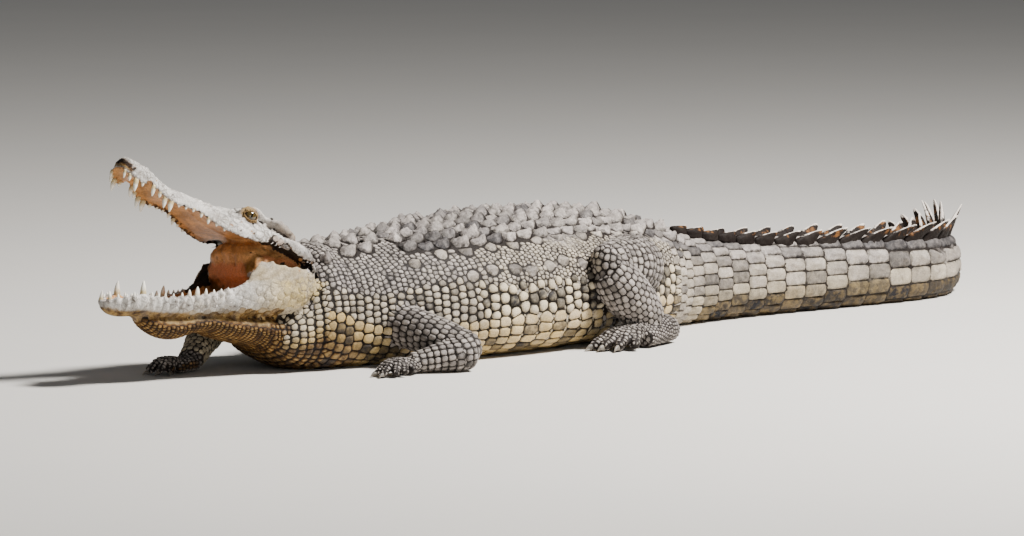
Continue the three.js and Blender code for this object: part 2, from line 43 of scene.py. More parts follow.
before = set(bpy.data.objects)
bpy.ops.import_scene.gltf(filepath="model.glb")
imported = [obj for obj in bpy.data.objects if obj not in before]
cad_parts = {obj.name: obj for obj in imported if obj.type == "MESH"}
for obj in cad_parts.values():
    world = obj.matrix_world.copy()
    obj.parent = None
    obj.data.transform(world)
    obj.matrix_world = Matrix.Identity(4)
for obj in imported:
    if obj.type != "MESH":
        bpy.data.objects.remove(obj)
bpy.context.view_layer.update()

MM = 0.001
MIDDLE = 850
JAW_STATION = 30
JAW_JOINT_HEIGHT = 216
UPPER_PITCH = 30
LOWER_PITCH = 0.5
HEAD_ROLL = 5
EYE_AT = (207, 71, 77)
FLOOR_GAP = 2.5  # the flesh stays this far over the floor
SKIN_GAP = 1.5  # and the finished skin this far

# Where the spine bends in plan: from, to, degrees.
BENDS = [(-100, 380, 7), (1250, 1880, -11.5), (2150, 3020, 118)]

# Station, half width, bottom, top, share of the height at the widest line, upper and lower roundness.
BODY = [
    (-80, 80, 60, 118, 0.5, 1.0, 0.9), (-30, 116, 30, 150, 0.48, 0.95, 0.85),
    (20, 130, 6, 205, 0.44, 0.95, 0.8), (55, 142, -2, 276, 0.41, 0.92, 0.78),
    (95, 153, -6, 308, 0.4, 0.9, 0.75), (160, 162, -8, 310, 0.38, 0.88, 0.73),
    (240, 182, -8, 310, 0.38, 0.88, 0.7), (320, 212, -8, 314, 0.38, 0.88, 0.66),
    (450, 252, -8, 324, 0.37, 0.9, 0.62), (620, 282, -8, 336, 0.36, 0.92, 0.6),
    (800, 290, -8, 342, 0.36, 0.92, 0.6), (960, 272, -8, 338, 0.37, 0.92, 0.6),
    (1100, 234, -8, 326, 0.38, 0.9, 0.62), (1230, 192, -8, 306, 0.4, 0.88, 0.66),
    (1370, 156, -8, 268, 0.42, 0.84, 0.72), (1550, 130, -8, 232, 0.44, 0.8, 0.78),
    (1800, 106, -7, 200, 0.46, 0.76, 0.8), (2050, 86, -7, 184, 0.47, 0.76, 0.82),
    (2300, 66, -6, 170, 0.48, 0.78, 0.85), (2550, 50, -6, 154, 0.48, 0.84, 0.85),
    (2800, 37, -5, 132, 0.48, 0.9, 0.88), (3050, 24, -4, 88, 0.48, 1.0, 0.9),
    (3200, 14, -3, 50, 0.48, 1.0, 0.9), (3270, 6, -2, 22, 0.48, 1.0, 0.9),
]

# The tail's crest: station, height of the blades, half distance between the two rows, length of a whorl,
# lean outwards and backwards as shares of the height.
CREST = [
    (1400, 11, 72, 60, 0.15, 0.2), (1600, 17, 62, 67, 0.2, 0.4), (1800, 26, 54, 73, 0.35, 0.7),
    (2000, 34, 46, 77, 0.5, 0.9), (2150, 38, 38, 75, 0.6, 0.95), (2300, 47, 29, 70, 0.55, 0.75),
    (2400, 66, 21, 65, 0.5, 0.5), (2480, 90, 13, 61, 0.4, 0.4), (2580, 92, 8, 57, 0.4, 0.45),
    (2680, 74, 6, 53, 0.3, 0.5), (2770, 50, 6, 49, 0.3, 0.5), (2860, 36, 6, 45, 0.3, 0.5),
    (3000, 26, 6, 40, 0.3, 0.5), (3190, 12, 6, 30, 0.3, 0.5),
]
CREST_FROM, CREST_MERGE, CREST_TO = 1400, 2500, 3190

# Upper head: x forward, half width, lip, dome, half width and height of the flat roof, roundness.
SKULL = [
    (-30, 112, 22, 40, 40, 38, 1.0), (0, 136, 20, 60, 44, 60, 1.0), (35, 139, 24, 74, 55, 84, 1.0),
    (60, 137, 26, 81, 62, 103, 1.0), (110, 131, 25, 84, 58, 103, 1.0), (160, 119, 18, 84, 54, 98, 0.9),
    (205, 106, 9, 80, 55, 91, 0.85), (250, 92, 4, 68, 42, 74, 0.8), (300, 79, 6, 60, 30, 60, 0.8),
    (345, 68, 12, 54, 24, 54, 0.8), (385, 62, 7, 52, 20, 52, 0.8), (425, 63, 0, 48, 20, 48, 0.8),
    (455, 59, 1, 47, 18, 47, 0.8), (480, 52, 8, 54, 16, 54, 0.8), (500, 46, 17, 61, 16, 61, 0.8),
    (518, 50, 7, 62, 16, 62, 0.8), (540, 51, 2, 60, 16, 60, 0.85), (559, 42, 6, 54, 14, 54, 0.9),
    (573, 28, 13, 48, 10, 48, 0.95), (579, 10, 22, 36, 4, 36, 1.0),
]

# Lower jaw: x forward, half width, rim, depth below the rim, wall thickness, trough depth.
MANDIBLE = [
    (-48, 92, -4, 34, 30, 2), (-20, 122, 0, 64, 30, 3), (30, 134, 0, 88, 30, 4), (90, 128, -2, 90, 28, 8),
    (150, 116, 2, 90, 24, 16), (200, 104, -3, 82, 22, 22), (250, 90, -14, 66, 20, 26),
    (310, 76, -20, 57, 17, 25), (370, 66, -19, 52, 15, 22), (425, 58, -17, 48, 13, 16),
    (462, 58, -9, 50, 13, 12), (486, 61, -6, 51, 13, 10), (512, 54, -10, 46, 12, 8),
    (536, 40, -11, 39, 11, 6), (552, 23, -12, 30, 10, 3), (559, 8, -16, 20, 6, 1),
]

# Skin bag under the lower jaw: x, half width, bottom, top.
POUCH = [
    (20, 96, -186, -70), (90, 94, -162, -70), (160, 84, -142, -66), (215, 74, -128, -62),
    (262, 67, -109, -60), (305, 60, -111, -58), (350, 52, -121, -57), (395, 44, -114, -56),
    (435, 34, -92, -52), (466, 14, -66, -50),
]

# Muscle at the corners of the mouth: x, inner and outer half width, bottom, top.
FLAP = [
    (-6, 118, 134, -30, 22), (40, 112, 133, -30, 34), (90, 104, 128, -28, 48), (132, 99, 120, -26, 58),
    (152, 98, 115, -22, 56), (176, 96, 108, -20, 26), (214, 90, 98, -18, 0),
]

# The back of the mouth and the tongue: x, half width, bottom, top.
THROAT = [
    (-10, 90, -30, 60), (50, 96, -34, 92), (110, 95, -38, 104), (146, 92, -40, 104), (162, 70, -36, 84),
]
TONGUE = [
    (150, 60, -40, -8), (220, 58, -50, -22), (300, 46, -50, -30), (370, 34, -46, -31), (400, 16, -42, -33),
]

# Limbs: rows of x, y, z, half width, half height from the body outwards, then the foot's place and line.
LIMBS = {
    "left_front": {
        "upper": [
            (-570, -110, 110, 60, 58), (-578, -195, 98, 58, 54), (-560, -285, 76, 54, 50),
            (-540, -348, 55, 46, 44),
        ],
        "lower": [
            (-540, -360, 48, 46, 45), (-580, -350, 42, 45, 42), (-630, -320, 34, 36, 32),
            (-675, -292, 27, 33, 26),
        ],
        "foot": (-675, -292, 24),
        "toward": (-0.86, -0.18),
    },
    "right_front": {
        "upper": [
            (-636, 140, 128, 58, 56), (-696, 182, 120, 55, 52), (-792, 210, 104, 49, 49),
            (-864, 208, 88, 45, 45),
        ],
        "lower": [
            (-872, 206, 86, 45, 44), (-922, 180, 66, 42, 39), (-973, 150, 46, 36, 34),
            (-1017, 124, 33, 34, 28),
        ],
        "foot": (-1019, 123, 27),
        "toward": (-0.97, 0.24),
    },
    "left_hind": {
        "upper": [
            (300, -90, 165, 96, 96), (262, -170, 178, 98, 92), (170, -250, 198, 80, 74),
            (80, -292, 212, 60, 62), (40, -300, 214, 48, 52),
        ],
        "lower": [
            (30, -306, 204, 54, 52), (60, -312, 172, 64, 60), (104, -316, 130, 67, 62),
            (148, -320, 92, 58, 54), (176, -324, 64, 50, 46),
        ],
        "foot": (234, -324, 46),
        "toward": (-0.993, -0.12),
    },
    "right_hind": {
        "upper": [
            (300, 90, 165, 96, 96), (258, 175, 172, 98, 90), (170, 262, 180, 80, 72),
            (96, 318, 184, 60, 60), (62, 334, 182, 48, 50),
        ],
        "lower": [
            (54, 342, 172, 54, 50), (80, 350, 148, 62, 56), (120, 354, 114, 64, 58),
            (162, 358, 84, 56, 50), (186, 360, 62, 50, 44),
        ],
        "foot": (242, 362, 46),
        "toward": (-0.96, 0.28),
    },
}

# Feet: the palm's length, half width and thickness, and the toes' angles, lengths and half thickness.
FEET = {
    "front": {
        "palm": 58, "half": 40, "thick": 27, "spread": (-48, -25, -3, 19, 42), "toes": (58, 74, 80, 70, 52),
        "toe_half": 12, "claw": 17,
    },
    "hind": {
        "palm": 128, "half": 52, "thick": 48, "spread": (-17, -5, 9, 25), "toes": (160, 154, 140, 114),
        "toe_half": 16, "claw": 22,
    },
}

# Teeth: x, length, root radius, lean outwards in degrees.
UPPER_TEETH = [
    (571, 13, 4.5, 4), (560, 15, 5, 8), (543, 25, 7, 10), (524, 8, 5, 8), (487, 20, 6.5, 8),
    (468, 9, 5.5, 8), (451, 22, 6.5, 8), (432, 25, 7.5, 8), (408, 5, 5, 8), (386, 4, 4.5, 8),
    (364, 4, 4.5, 8), (340, 8, 5, 8), (318, 12, 5.5, 8), (295, 4, 4.5, 6), (272, 4, 4.5, 6),
]
LOWER_TEETH = [
    (551, 22, 5.5, -4), (538, 12, 4.5, 6), (520, 11, 4.5, 8), (503, 11, 4.5, 8), (474, 36, 8.5, 4),
    (448, 11, 4.5, 8), (428, 13, 5, 8), (409, 12, 4.5, 8), (386, 10, 4.5, 6), (362, 12, 5, 6),
    (341, 17, 6, 4), (318, 26, 7.5, 4), (296, 16, 5.5, 4), (275, 13, 5, 4), (256, 10, 4.5, 4),
    (238, 8, 4, 4),
]

FLESH = [
    "upper_head", "lower_jaw", "left_jaw_muscle", "right_jaw_muscle", "throat_valve", "throat_pouch",
    "neck", "chest", "belly", "hips", "tail_1", "tail_2", "tail_3", "tail_4", "tail_5",
] + [f"{leg}_{part}" for leg in LIMBS for part in ("upper", "lower", "foot")]

# What the operators hand on to each other.
MADE = {}


# ---------- shape helpers
def ramp(t):
    t = np.clip(t, 0.0, 1.0)
    return t * t * (3 - 2 * t)


def power(value, exponent):
    return np.sign(value) * np.abs(value) ** exponent


def bump(distance, width):
    return np.exp(-((distance / width) ** 2))


def profile(rows):
    """A smooth curve through rows of numbers, looked up by the first number."""
    rows = np.array(rows, float)
    at = rows[:, 0]
    order = np.arange(len(rows))
    before = rows[np.maximum(order - 1, 0)]
    after = rows[np.minimum(order + 1, len(rows) - 1)]
    slope = ((after - before) / (after[:, :1] - before[:, :1]))[:, 1:]

    def look(x):
        x = np.asarray(x, float)
        i = np.clip(np.searchsorted(at, x) - 1, 0, len(rows) - 2)
        span = (at[i + 1] - at[i])[..., None]
        t = np.clip((x - at[i])[..., None] / span, 0, 1)
        return (
            (2 * t**3 - 3 * t**2 + 1) * rows[i, 1:]
            + (t**3 - 2 * t**2 + t) * slope[i] * span
            + (3 * t**2 - 2 * t**3) * rows[i + 1, 1:]
            + (t**3 - t**2) * slope[i + 1] * span
        )

    return look


def unit(vectors):
    return vectors / np.maximum(np.linalg.norm(vectors, axis=-1, keepdims=True), 1e-9)


def roughness_at(points, size, seed=0.0, octaves=3):
    """Smooth random heights, from about -1 to 1, over points in metres; size is the lumps' width in mm."""
    scale = 1 / (size * MM)
    shift = Vector((seed, seed * 1.7, -seed))
    found = [
        noise.fractal(Vector(p) * scale + shift, 1.0, 2.0, octaves, noise_basis="PERLIN_NEW")
        for p in points.tolist()
    ]
    return np.array(found)


def circle(count):
    """Angles spread evenly round a circle."""
    return 2 * np.pi * np.arange(count) / count


def smooth_rows(rows, count):
    """The rows' numbers at even steps along a smooth curve through them, one array for each column."""
    look = profile([(i, *row) for i, row in enumerate(rows)])
    return np.moveaxis(look(np.linspace(0, len(rows) - 1, count)), -1, 0)


def path_rings(centre, half, tall, around):
    """Oval rings round a path of points, and the path's direction at each."""
    along = unit(np.gradient(centre, axis=0))
    across = unit(np.cross(along, [0, 0, 1.0]))
    up = np.cross(across, along)
    a = circle(around)
    wide, high = half[:, None] * np.cos(a), tall[:, None] * np.sin(a)
    return centre[:, None] + across[:, None] * wide[..., None] + up[:, None] * high[..., None], along


# ---------- the body's surface
body_shape = profile(BODY)
crest_shape = profile(CREST)


def whorl_starts():
    """Stations at which the crest's whorls start. Each whorl stands on one ring of the tail's plates."""
    starts = [CREST_FROM]
    while starts[-1] < CREST_TO:
        starts.append(starts[-1] + float(crest_shape(starts[-1])[2]))
    return starts


WHORLS = whorl_starts()
skull_shape = profile(SKULL)
jaw_shape = profile(MANDIBLE)


def heading(station):
    def turned(at):
        return sum(degrees * ramp((at - a) / (b - a)) for a, b, degrees in BENDS)

    return np.radians(turned(station) - turned(MIDDLE))


SPINE_AT = np.arange(-400.0, 3401.0)
_steps = heading(SPINE_AT + 0.5)
SPINE_X = np.concatenate([[0], np.cumsum(np.cos(_steps))[:-1]])
SPINE_Y = np.concatenate([[0], np.cumsum(np.sin(_steps))[:-1]])
SPINE_X -= np.interp(MIDDLE, SPINE_AT, SPINE_X)
SPINE_Y -= np.interp(MIDDLE, SPINE_AT, SPINE_Y)


def spine(station):
    return np.interp(station, SPINE_AT, SPINE_X), np.interp(station, SPINE_AT, SPINE_Y)


def body_point(station, angle, grow=0.0, floor=FLOOR_GAP):
    """A point of the body in metres. The angle starts at the animal's right and goes over the back."""
    half, bottom, top, widest, upper, lower = np.moveaxis(body_shape(station), -1, 0)
    middle = bottom + widest * (top - bottom)
    c, s = np.cos(angle), np.sin(angle)
    side = (half + grow) * power(c, np.where(s > 0, upper, lower))
    above = middle + (top - middle + grow) * np.abs(s) ** upper
    below = middle - (middle - bottom + grow) * np.abs(s) ** lower
    z = np.maximum(np.where(s > 0, above, below), floor)
    turn = heading(station)
    x, y = spine(station)
    return np.stack([x - np.sin(turn) * side, y + np.cos(turn) * side, z], -1) * MM


# Down each flank from the back's middle line to the belly's: arc lengths in mm, by station.
GIRTH_STATIONS = np.arange(-80.0, 3271.0, 10.0)
GIRTH_ANGLES = np.linspace(0.5 * np.pi, 1.5 * np.pi, 181)
_ring = body_point(GIRTH_STATIONS[:, None], GIRTH_ANGLES[None, :], 0, 0) / MM
_lengths = np.cumsum(np.linalg.norm(np.diff(_ring, axis=1), axis=2), axis=1)
GIRTH = np.concatenate([np.zeros((len(GIRTH_STATIONS), 1)), _lengths], 1)


def flank_length(station):
    return np.interp(station, GIRTH_STATIONS, GIRTH[:, -1])


def body_angle(station, down):
    """The angle of the section at a distance in mm down from the back's middle line, left side positive."""
    share = np.abs(down) / np.maximum(flank_length(station), 1)
    k = np.clip((station - GIRTH_STATIONS[0]) / 10, 0, len(GIRTH_STATIONS) - 1.001)
    i = k.astype(int)
    table = GIRTH / GIRTH[:, -1:]
    angles = np.empty(len(station))
    for row in np.unique(i):
        m = i == row
        a = np.interp(share[m], table[row], GIRTH_ANGLES)
        b = np.interp(share[m], table[row + 1], GIRTH_ANGLES)
        t = k[m] - row
        angles[m] = a * (1 - t) + b * t
    return np.where(np.asarray(down) >= 0, angles, np.pi - angles)


def coat_depth(station, angle):
    """How deep the skin lies under the outline, where scales stand on it."""
    back = ramp((np.sin(angle) - 0.55) / 0.3)
    scutes = ramp((station - 40) / 120) * (1 - ramp((station - 1500) / 500))
    return 3.5 + 6.5 * back * scutes


# ---------- the head's frames
def head_frame(pitch):
    """Forward, left and up of a jaw, and its joint, in the animal's frame (metres)."""
    turn = float(heading(np.float64(JAW_STATION)))
    x, y = spine(JAW_STATION)
    forward = np.array([-math.cos(turn), -math.sin(turn), 0.0])
    left = np.array([math.sin(turn), -math.cos(turn), 0.0])
    up = np.array([0.0, 0.0, 1.0])
    roll, raised = math.radians(HEAD_ROLL), math.radians(pitch)
    left, up = left * math.cos(roll) + up * math.sin(roll), up * math.cos(roll) - left * math.sin(roll)
    forward, up = (
        forward * math.cos(raised) + up * math.sin(raised),
        up * math.cos(raised) - forward * math.sin(raised),
    )
    return np.array([forward, left, up]), np.array([x * MM, y * MM, JAW_JOINT_HEIGHT * MM])


UPPER = head_frame(UPPER_PITCH)
LOWER = head_frame(LOWER_PITCH)


def out_of(jaw, points):
    """From a jaw's own frame (mm) to the animal's (metres)."""
    axes, joint = jaw
    return joint + (np.asarray(points, float) * MM) @ axes


def into(jaw, points):
    """From the animal's frame (metres) to a jaw's own (mm)."""
    axes, joint = jaw
    return ((np.asarray(points) - joint) @ axes.T) / MM


def skull_top(x, y):
    """Height of the crown over the lip line at y, and where the flat roof and brow raise it."""
    half, lip, dome, table_half, table, round_ = np.moveaxis(skull_shape(x), -1, 0)
    share = np.clip(np.abs(y) / half, 0, 1) ** (1 / 0.9)
    domed = lip + (dome - lip) * np.sqrt(1 - share**2) ** round_
    shelf = lip + (table - lip) * ramp((table_half + 16 - np.abs(y)) / 18)
    brow = 11 * bump(x - 208, 30) * bump(np.abs(y) - 50, 16)
    return np.maximum(domed, shelf) + brow


# ---------- meshes
def tube(rings):
    """Vertices and faces of a skin over rings of points, with a fan at each end."""
    rings = np.asarray(rings, float)
    count, around = rings.shape[:2]
    points = rings.reshape(-1, 3)
    i = np.arange(around)
    j = (i + 1) % around
    base = (count - 1) * around
    faces = []
    for a in range(0, base, around):
        faces += np.stack([a + i, a + j, a + around + j, a + around + i], 1).tolist()
    ends = np.array([rings[0].mean(0), rings[-1].mean(0)])
    first, last = len(points), len(points) + 1
    sides = list(zip(i.tolist(), j.tolist()))
    faces += [[first, q, p] for p, q in sides]
    faces += [[last, base + p, base + q] for p, q in sides]
    return np.concatenate([points, ends]), faces


def jaw_tube(jaw, rings):
    """A tube over rings that are in a jaw's frame."""
    points, faces = tube(rings)
    return out_of(jaw, points), faces


def merge(pieces):
    points, faces, start = [], [], 0
    for p, f in pieces:
        points.append(p)
        faces += [[start + v for v in face] for face in f]
        start += len(p)
    return np.concatenate(points), faces


def facing_out(points, faces):
    """Turns the faces of one closed shell round if they point inwards."""
    volume = 0.0
    for face in faces:
        a = points[face[0]]
        for k in range(1, len(face) - 1):
            volume += float(np.dot(a, np.cross(points[face[k]], points[face[k + 1]])))
    return (points, faces) if volume >= 0 else (points, [face[::-1] for face in faces])


def mesh_object(name, points, faces, smooth=True):
    mesh = bpy.data.meshes.new(name)
    mesh.from_pydata(np.asarray(points).tolist(), [], faces)
    mesh.update()
    mesh.polygons.foreach_set("use_smooth", [smooth] * len(mesh.polygons))
    thing = bpy.data.objects.new(name, mesh)
    bpy.context.scene.collection.objects.link(thing)
    return thing


def only(thing):
    """Selects one object alone and makes it active."""
    for other in bpy.context.selected_objects:
        other.select_set(False)
    thing.select_set(True)
    bpy.context.view_layer.objects.active = thing
    return thing


def apply_modifier(thing, kind, **settings):
    only(thing)
    modifier = thing.modifiers.new(kind.title(), kind)
    for key, value in settings.items():
        setattr(modifier, key, value)
    bpy.ops.object.modifier_apply(modifier=modifier.name)


def vertices_of(mesh):
    points = np.empty(len(mesh.vertices) * 3, np.float32)
    mesh.vertices.foreach_get("co", points)
    return points.reshape(-1, 3).astype(float)


def normals_of(mesh):
    found = np.empty(len(mesh.vertices) * 3, np.float32)
    mesh.vertex_normals.foreach_get("vector", found)
    return found.reshape(-1, 3).astype(float)


def put_vertices(mesh, points):
    mesh.vertices.foreach_set("co", np.asarray(points, np.float32).ravel())
    mesh.update()


def paint(mesh, name, values):
    """Keeps four numbers for each vertex, which the materials read."""
    layer = mesh.attributes.new(name, "FLOAT_COLOR", "POINT")
    layer.data.foreach_set("color", np.asarray(values, np.float32).ravel())


# ---------- the flesh under the scales
def flesh_body():
    """Neck, trunk and tail, as deep under the outline as the scales stand."""
    stations = np.concatenate([np.arange(-74, 3240, 9.0), [3246, 3254, 3260, 3264]])
    angles = np.linspace(0, 2 * np.pi, 120, endpoint=False)
    grid_s, grid_a = np.meshgrid(stations, angles, indexing="ij")
    grow = -np.minimum(coat_depth(grid_s, grid_a), 0.3 * body_shape(grid_s)[..., 0])
    return tube(body_point(grid_s, grid_a, grow))


def flesh_skull():
    """The upper head, with the arch of the palate, its gutters and the hollows for the jaw's muscles."""
    xs = np.concatenate([np.arange(-28, 572, 4.0), [573, 575.5, 577.5]])
    top, under = 96, 40
    rings = []
    for x in xs:
        half, lip = skull_shape(x)[:2]
        half, lip = half - 2.5, lip + 1.5
        y = half * power(np.cos(np.linspace(0, np.pi, top)), 0.9)
        edge = np.minimum(np.abs(np.abs(y) - half) / 6, 1) ** 0.5
        z = lip + (skull_top(x, y) - 3 - lip) * edge
        b = np.pi * np.arange(1, under + 1) / (under + 1)
        v = -half * 0.94 * np.cos(b)
        outward = np.abs(v) / half
        arch = min(14, half * 0.3) * np.sin(b)
        gutter = 4 * bump(outward - 0.84, 0.07) * ramp((x - 180) / 60)
        pocket = 30 * bump(outward - 0.86, 0.08) * ramp((x - 6) / 30) * (1 - ramp((x - 150) / 34))
        ridge = 2.5 * bump(v, 5) * ramp((560 - x) / 60)
        under_z = lip + arch + gutter + pocket - ridge
        rings.append(np.concatenate([
            np.stack([np.full(top, x), y, z], 1),
            np.stack([np.full(under, x), v, under_z], 1),
        ]))
    return jaw_tube(UPPER, rings)


def flesh_jaw():
    """The lower jaw, a trough between its two walls."""
    xs = np.concatenate([np.arange(-46, 552, 4.0), [553, 555.5, 557.5]])
    outside = 70
    rings = []
    for x in xs:
        half, rim, depth, wall, trough = jaw_shape(x)
        half, depth = half - 2.5, depth - 2.5
        a = np.linspace(0, np.pi, outside)
        y = -half * power(np.cos(a), 0.8)
        z = rim - depth * np.sin(a) ** 0.75
        inner = max(half - wall, half * 0.3)
        fy = np.array([half - 2, half - 6, inner + 3, inner - 2, inner * 0.9, inner * 0.6, inner * 0.3, 0])
        fz = np.array([2.0, 4.0, 3.0, -trough * 0.2, -trough * 0.75, -trough * 0.9, -trough, -trough])
        fy, fz = np.concatenate([fy, -fy[-2::-1]]), np.concatenate([fz, fz[-2::-1]])
        rings.append(np.concatenate([
            np.stack([np.full(outside, x), y, z], 1),
            np.stack([np.full(len(fy), x), fy, rim + fz], 1),
        ]))
    return jaw_tube(LOWER, rings)


def lobe(rows, shrink, boxy=1.0, middle=None, around=40):
    """A rounded lobe along the lower jaw: rows of x, half width, bottom, top."""
    look = profile(rows)
    a = circle(around)
    rings = []
    for x in np.linspace(rows[0][0] + shrink, rows[-1][0] - shrink, 36):
        half, bottom, top = look(x)
        half, tall = max(half - shrink, 1), max((top - bottom) / 2 - shrink, 1)
        y = (middle(x) if middle else 0) + half * power(np.cos(a), boxy)
        z = (top + bottom) / 2 + tall * power(np.sin(a), boxy)
        rings.append(np.stack([np.full(around, x), y, z], 1))
    return jaw_tube(LOWER, rings)


def flesh_flap(side):
    """The muscle at one corner of the mouth."""
    widths = profile([(x, (inner + outer) / 2) for x, inner, outer, _, _ in FLAP])
    rows = [(x, (outer - inner) / 2, bottom, top) for x, inner, outer, bottom, top in FLAP]
    return lobe(rows, 0.8, middle=lambda x: side * float(widths(x)[0]))


def limb_kind(name):
    """Front or hind, and 1 for the left side or -1 for the right."""
    return name.split("_")[1], 1 if name.startswith("left") else -1


def limb_rings(rows, count=44, around=48, shrink=3.0):
    """Smooth rings along a limb's rows, and the limb's direction at each."""
    x, y, z, half, tall = smooth_rows(rows, count)
    rings, along = path_rings(np.stack([x, y, z], 1), half - shrink, tall - shrink, around)
    rings[..., 2] = np.maximum(rings[..., 2], FLOOR_GAP)
    return rings * MM, along


def toe_paths(leg, kind, side):
    """Each toe's root, knuckle, tip and direction."""
    foot = FEET[kind]
    ahead = math.atan2(leg["toward"][1], leg["toward"][0])
    heel = np.array(leg["foot"], float)
    root = heel + np.array([math.cos(ahead), math.sin(ahead), 0]) * foot["palm"] * 0.8
    paths = []
    for degrees, length in zip(foot["spread"], foot["toes"]):
        angle = ahead + side * math.radians(degrees)
        step = np.array([math.cos(angle), math.sin(angle), 0])
        start, knuckle, tip = root.copy(), root + step * length * 0.56, root + step * length
        start[2], knuckle[2], tip[2] = foot["thick"] * 1.05, foot["toe_half"] * 2.5, foot["toe_half"] * 0.72
        paths.append((start, knuckle, tip, step))
    return paths


def palm_rows(leg, kind):
    """Rows of a palm from the wrist to the toes' roots."""
    palm, half, thick = (FEET[kind][key] for key in ("palm", "half", "thick"))
    (x, y, z), toward = leg["foot"], leg["toward"]

    def at(along, height, wide, tall):
        return (x + toward[0] * along, y + toward[1] * along, height, wide, tall)

    return [
        at(-palm * 0.28, z * 0.55, half * 0.5, z * 0.55),
        at(0, z * 0.8, half * 0.8, z * 0.8),
        at(palm * 0.5, thick * 0.75, half * 0.95, thick * 0.8),
        at(palm, thick * 0.55, half * 1.05, thick * 0.62),
    ]


def toe_rings(path, kind):
    """Rings of one toe, thickest at its root and round at its end."""
    start, knuckle, tip, _ = path
    size = FEET[kind]["toe_half"]
    middle, last = (knuckle * 0.5 + tip * 0.5), (knuckle * 0.16 + tip * 0.84)
    rows = [
        (*start, size * 1.3, size * 1.25), (*knuckle, size * 1.06, size * 1.04),
        (*middle, size * 0.84, size * 0.86), (*last, size * 0.86, size * 0.84),
        (*tip, size * 0.6, size * 0.62),
    ]
    return limb_rings(rows, 24, 20, 1.2)


def blob(jaw, centre, radii):
    """A closed ellipsoid in a jaw's frame."""
    v = np.linspace(0.06, np.pi - 0.06, 14)
    a = circle(24)
    ball = np.stack([
        np.repeat(np.cos(v)[:, None], len(a), 1),
        np.sin(v)[:, None] * np.cos(a),
        np.sin(v)[:, None] * np.sin(a),
    ], -1)
    return jaw_tube(jaw, ball * np.array(radii) + np.array(centre))


def rod(jaw, rows):
    """A rounded ridge through rows of x, y, z, radius in a jaw's frame."""
    count = 26
    x, y, z, radius = smooth_rows(rows, count)
    radius = radius * np.sqrt(np.clip(np.sin(np.pi * np.linspace(0.02, 0.98, count)) * 1.6, 0, 1))
    return jaw_tube(jaw, path_rings(np.stack([x, y, z], 1), radius, radius, 16)[0])


WORLD = (np.eye(3), np.zeros(3))


# Ridges of the upper head, on its left: rows of x, y, z, radius. The first two rim the flat roof, then come
# the snout's ridge and the cheek's.
RIDGES = [
    [(236, 60, 74, 4), (214, 60, 92, 7), (186, 58, 99, 8), (150, 58, 99, 6)],
    [(165, 57, 94, 7), (112, 60, 101, 10), (72, 62, 93, 9), (40, 60, 84, 7)],
    [(232, 50, 68, 8), (270, 38, 62, 7), (330, 24, 53, 6), (400, 20, 46, 5)],
    [(190, 96, 46, 7), (130, 116, 52, 9), (60, 128, 50, 10), (10, 128, 42, 9)],
]


def head_ridges():
    """The snout's tip, brows, eye mounds and ridges, as closed shapes that the skin takes in."""
    ex, ey, ez = EYE_AT
    made = [blob(UPPER, (548, 0, 45), (31, 26, 14))]
    for side in (1, -1):
        made.append(blob(UPPER, (ex, side * (ey - 3), ez - 8), (27, 22, 18)))
        made.append(blob(UPPER, (ex + 2, side * (ey + 4), ez - 21), (31, 15, 12)))
        for rows in RIDGES:
            made.append(rod(UPPER, [(x, side * y, z, radius) for x, y, z, radius in rows]))
    return made


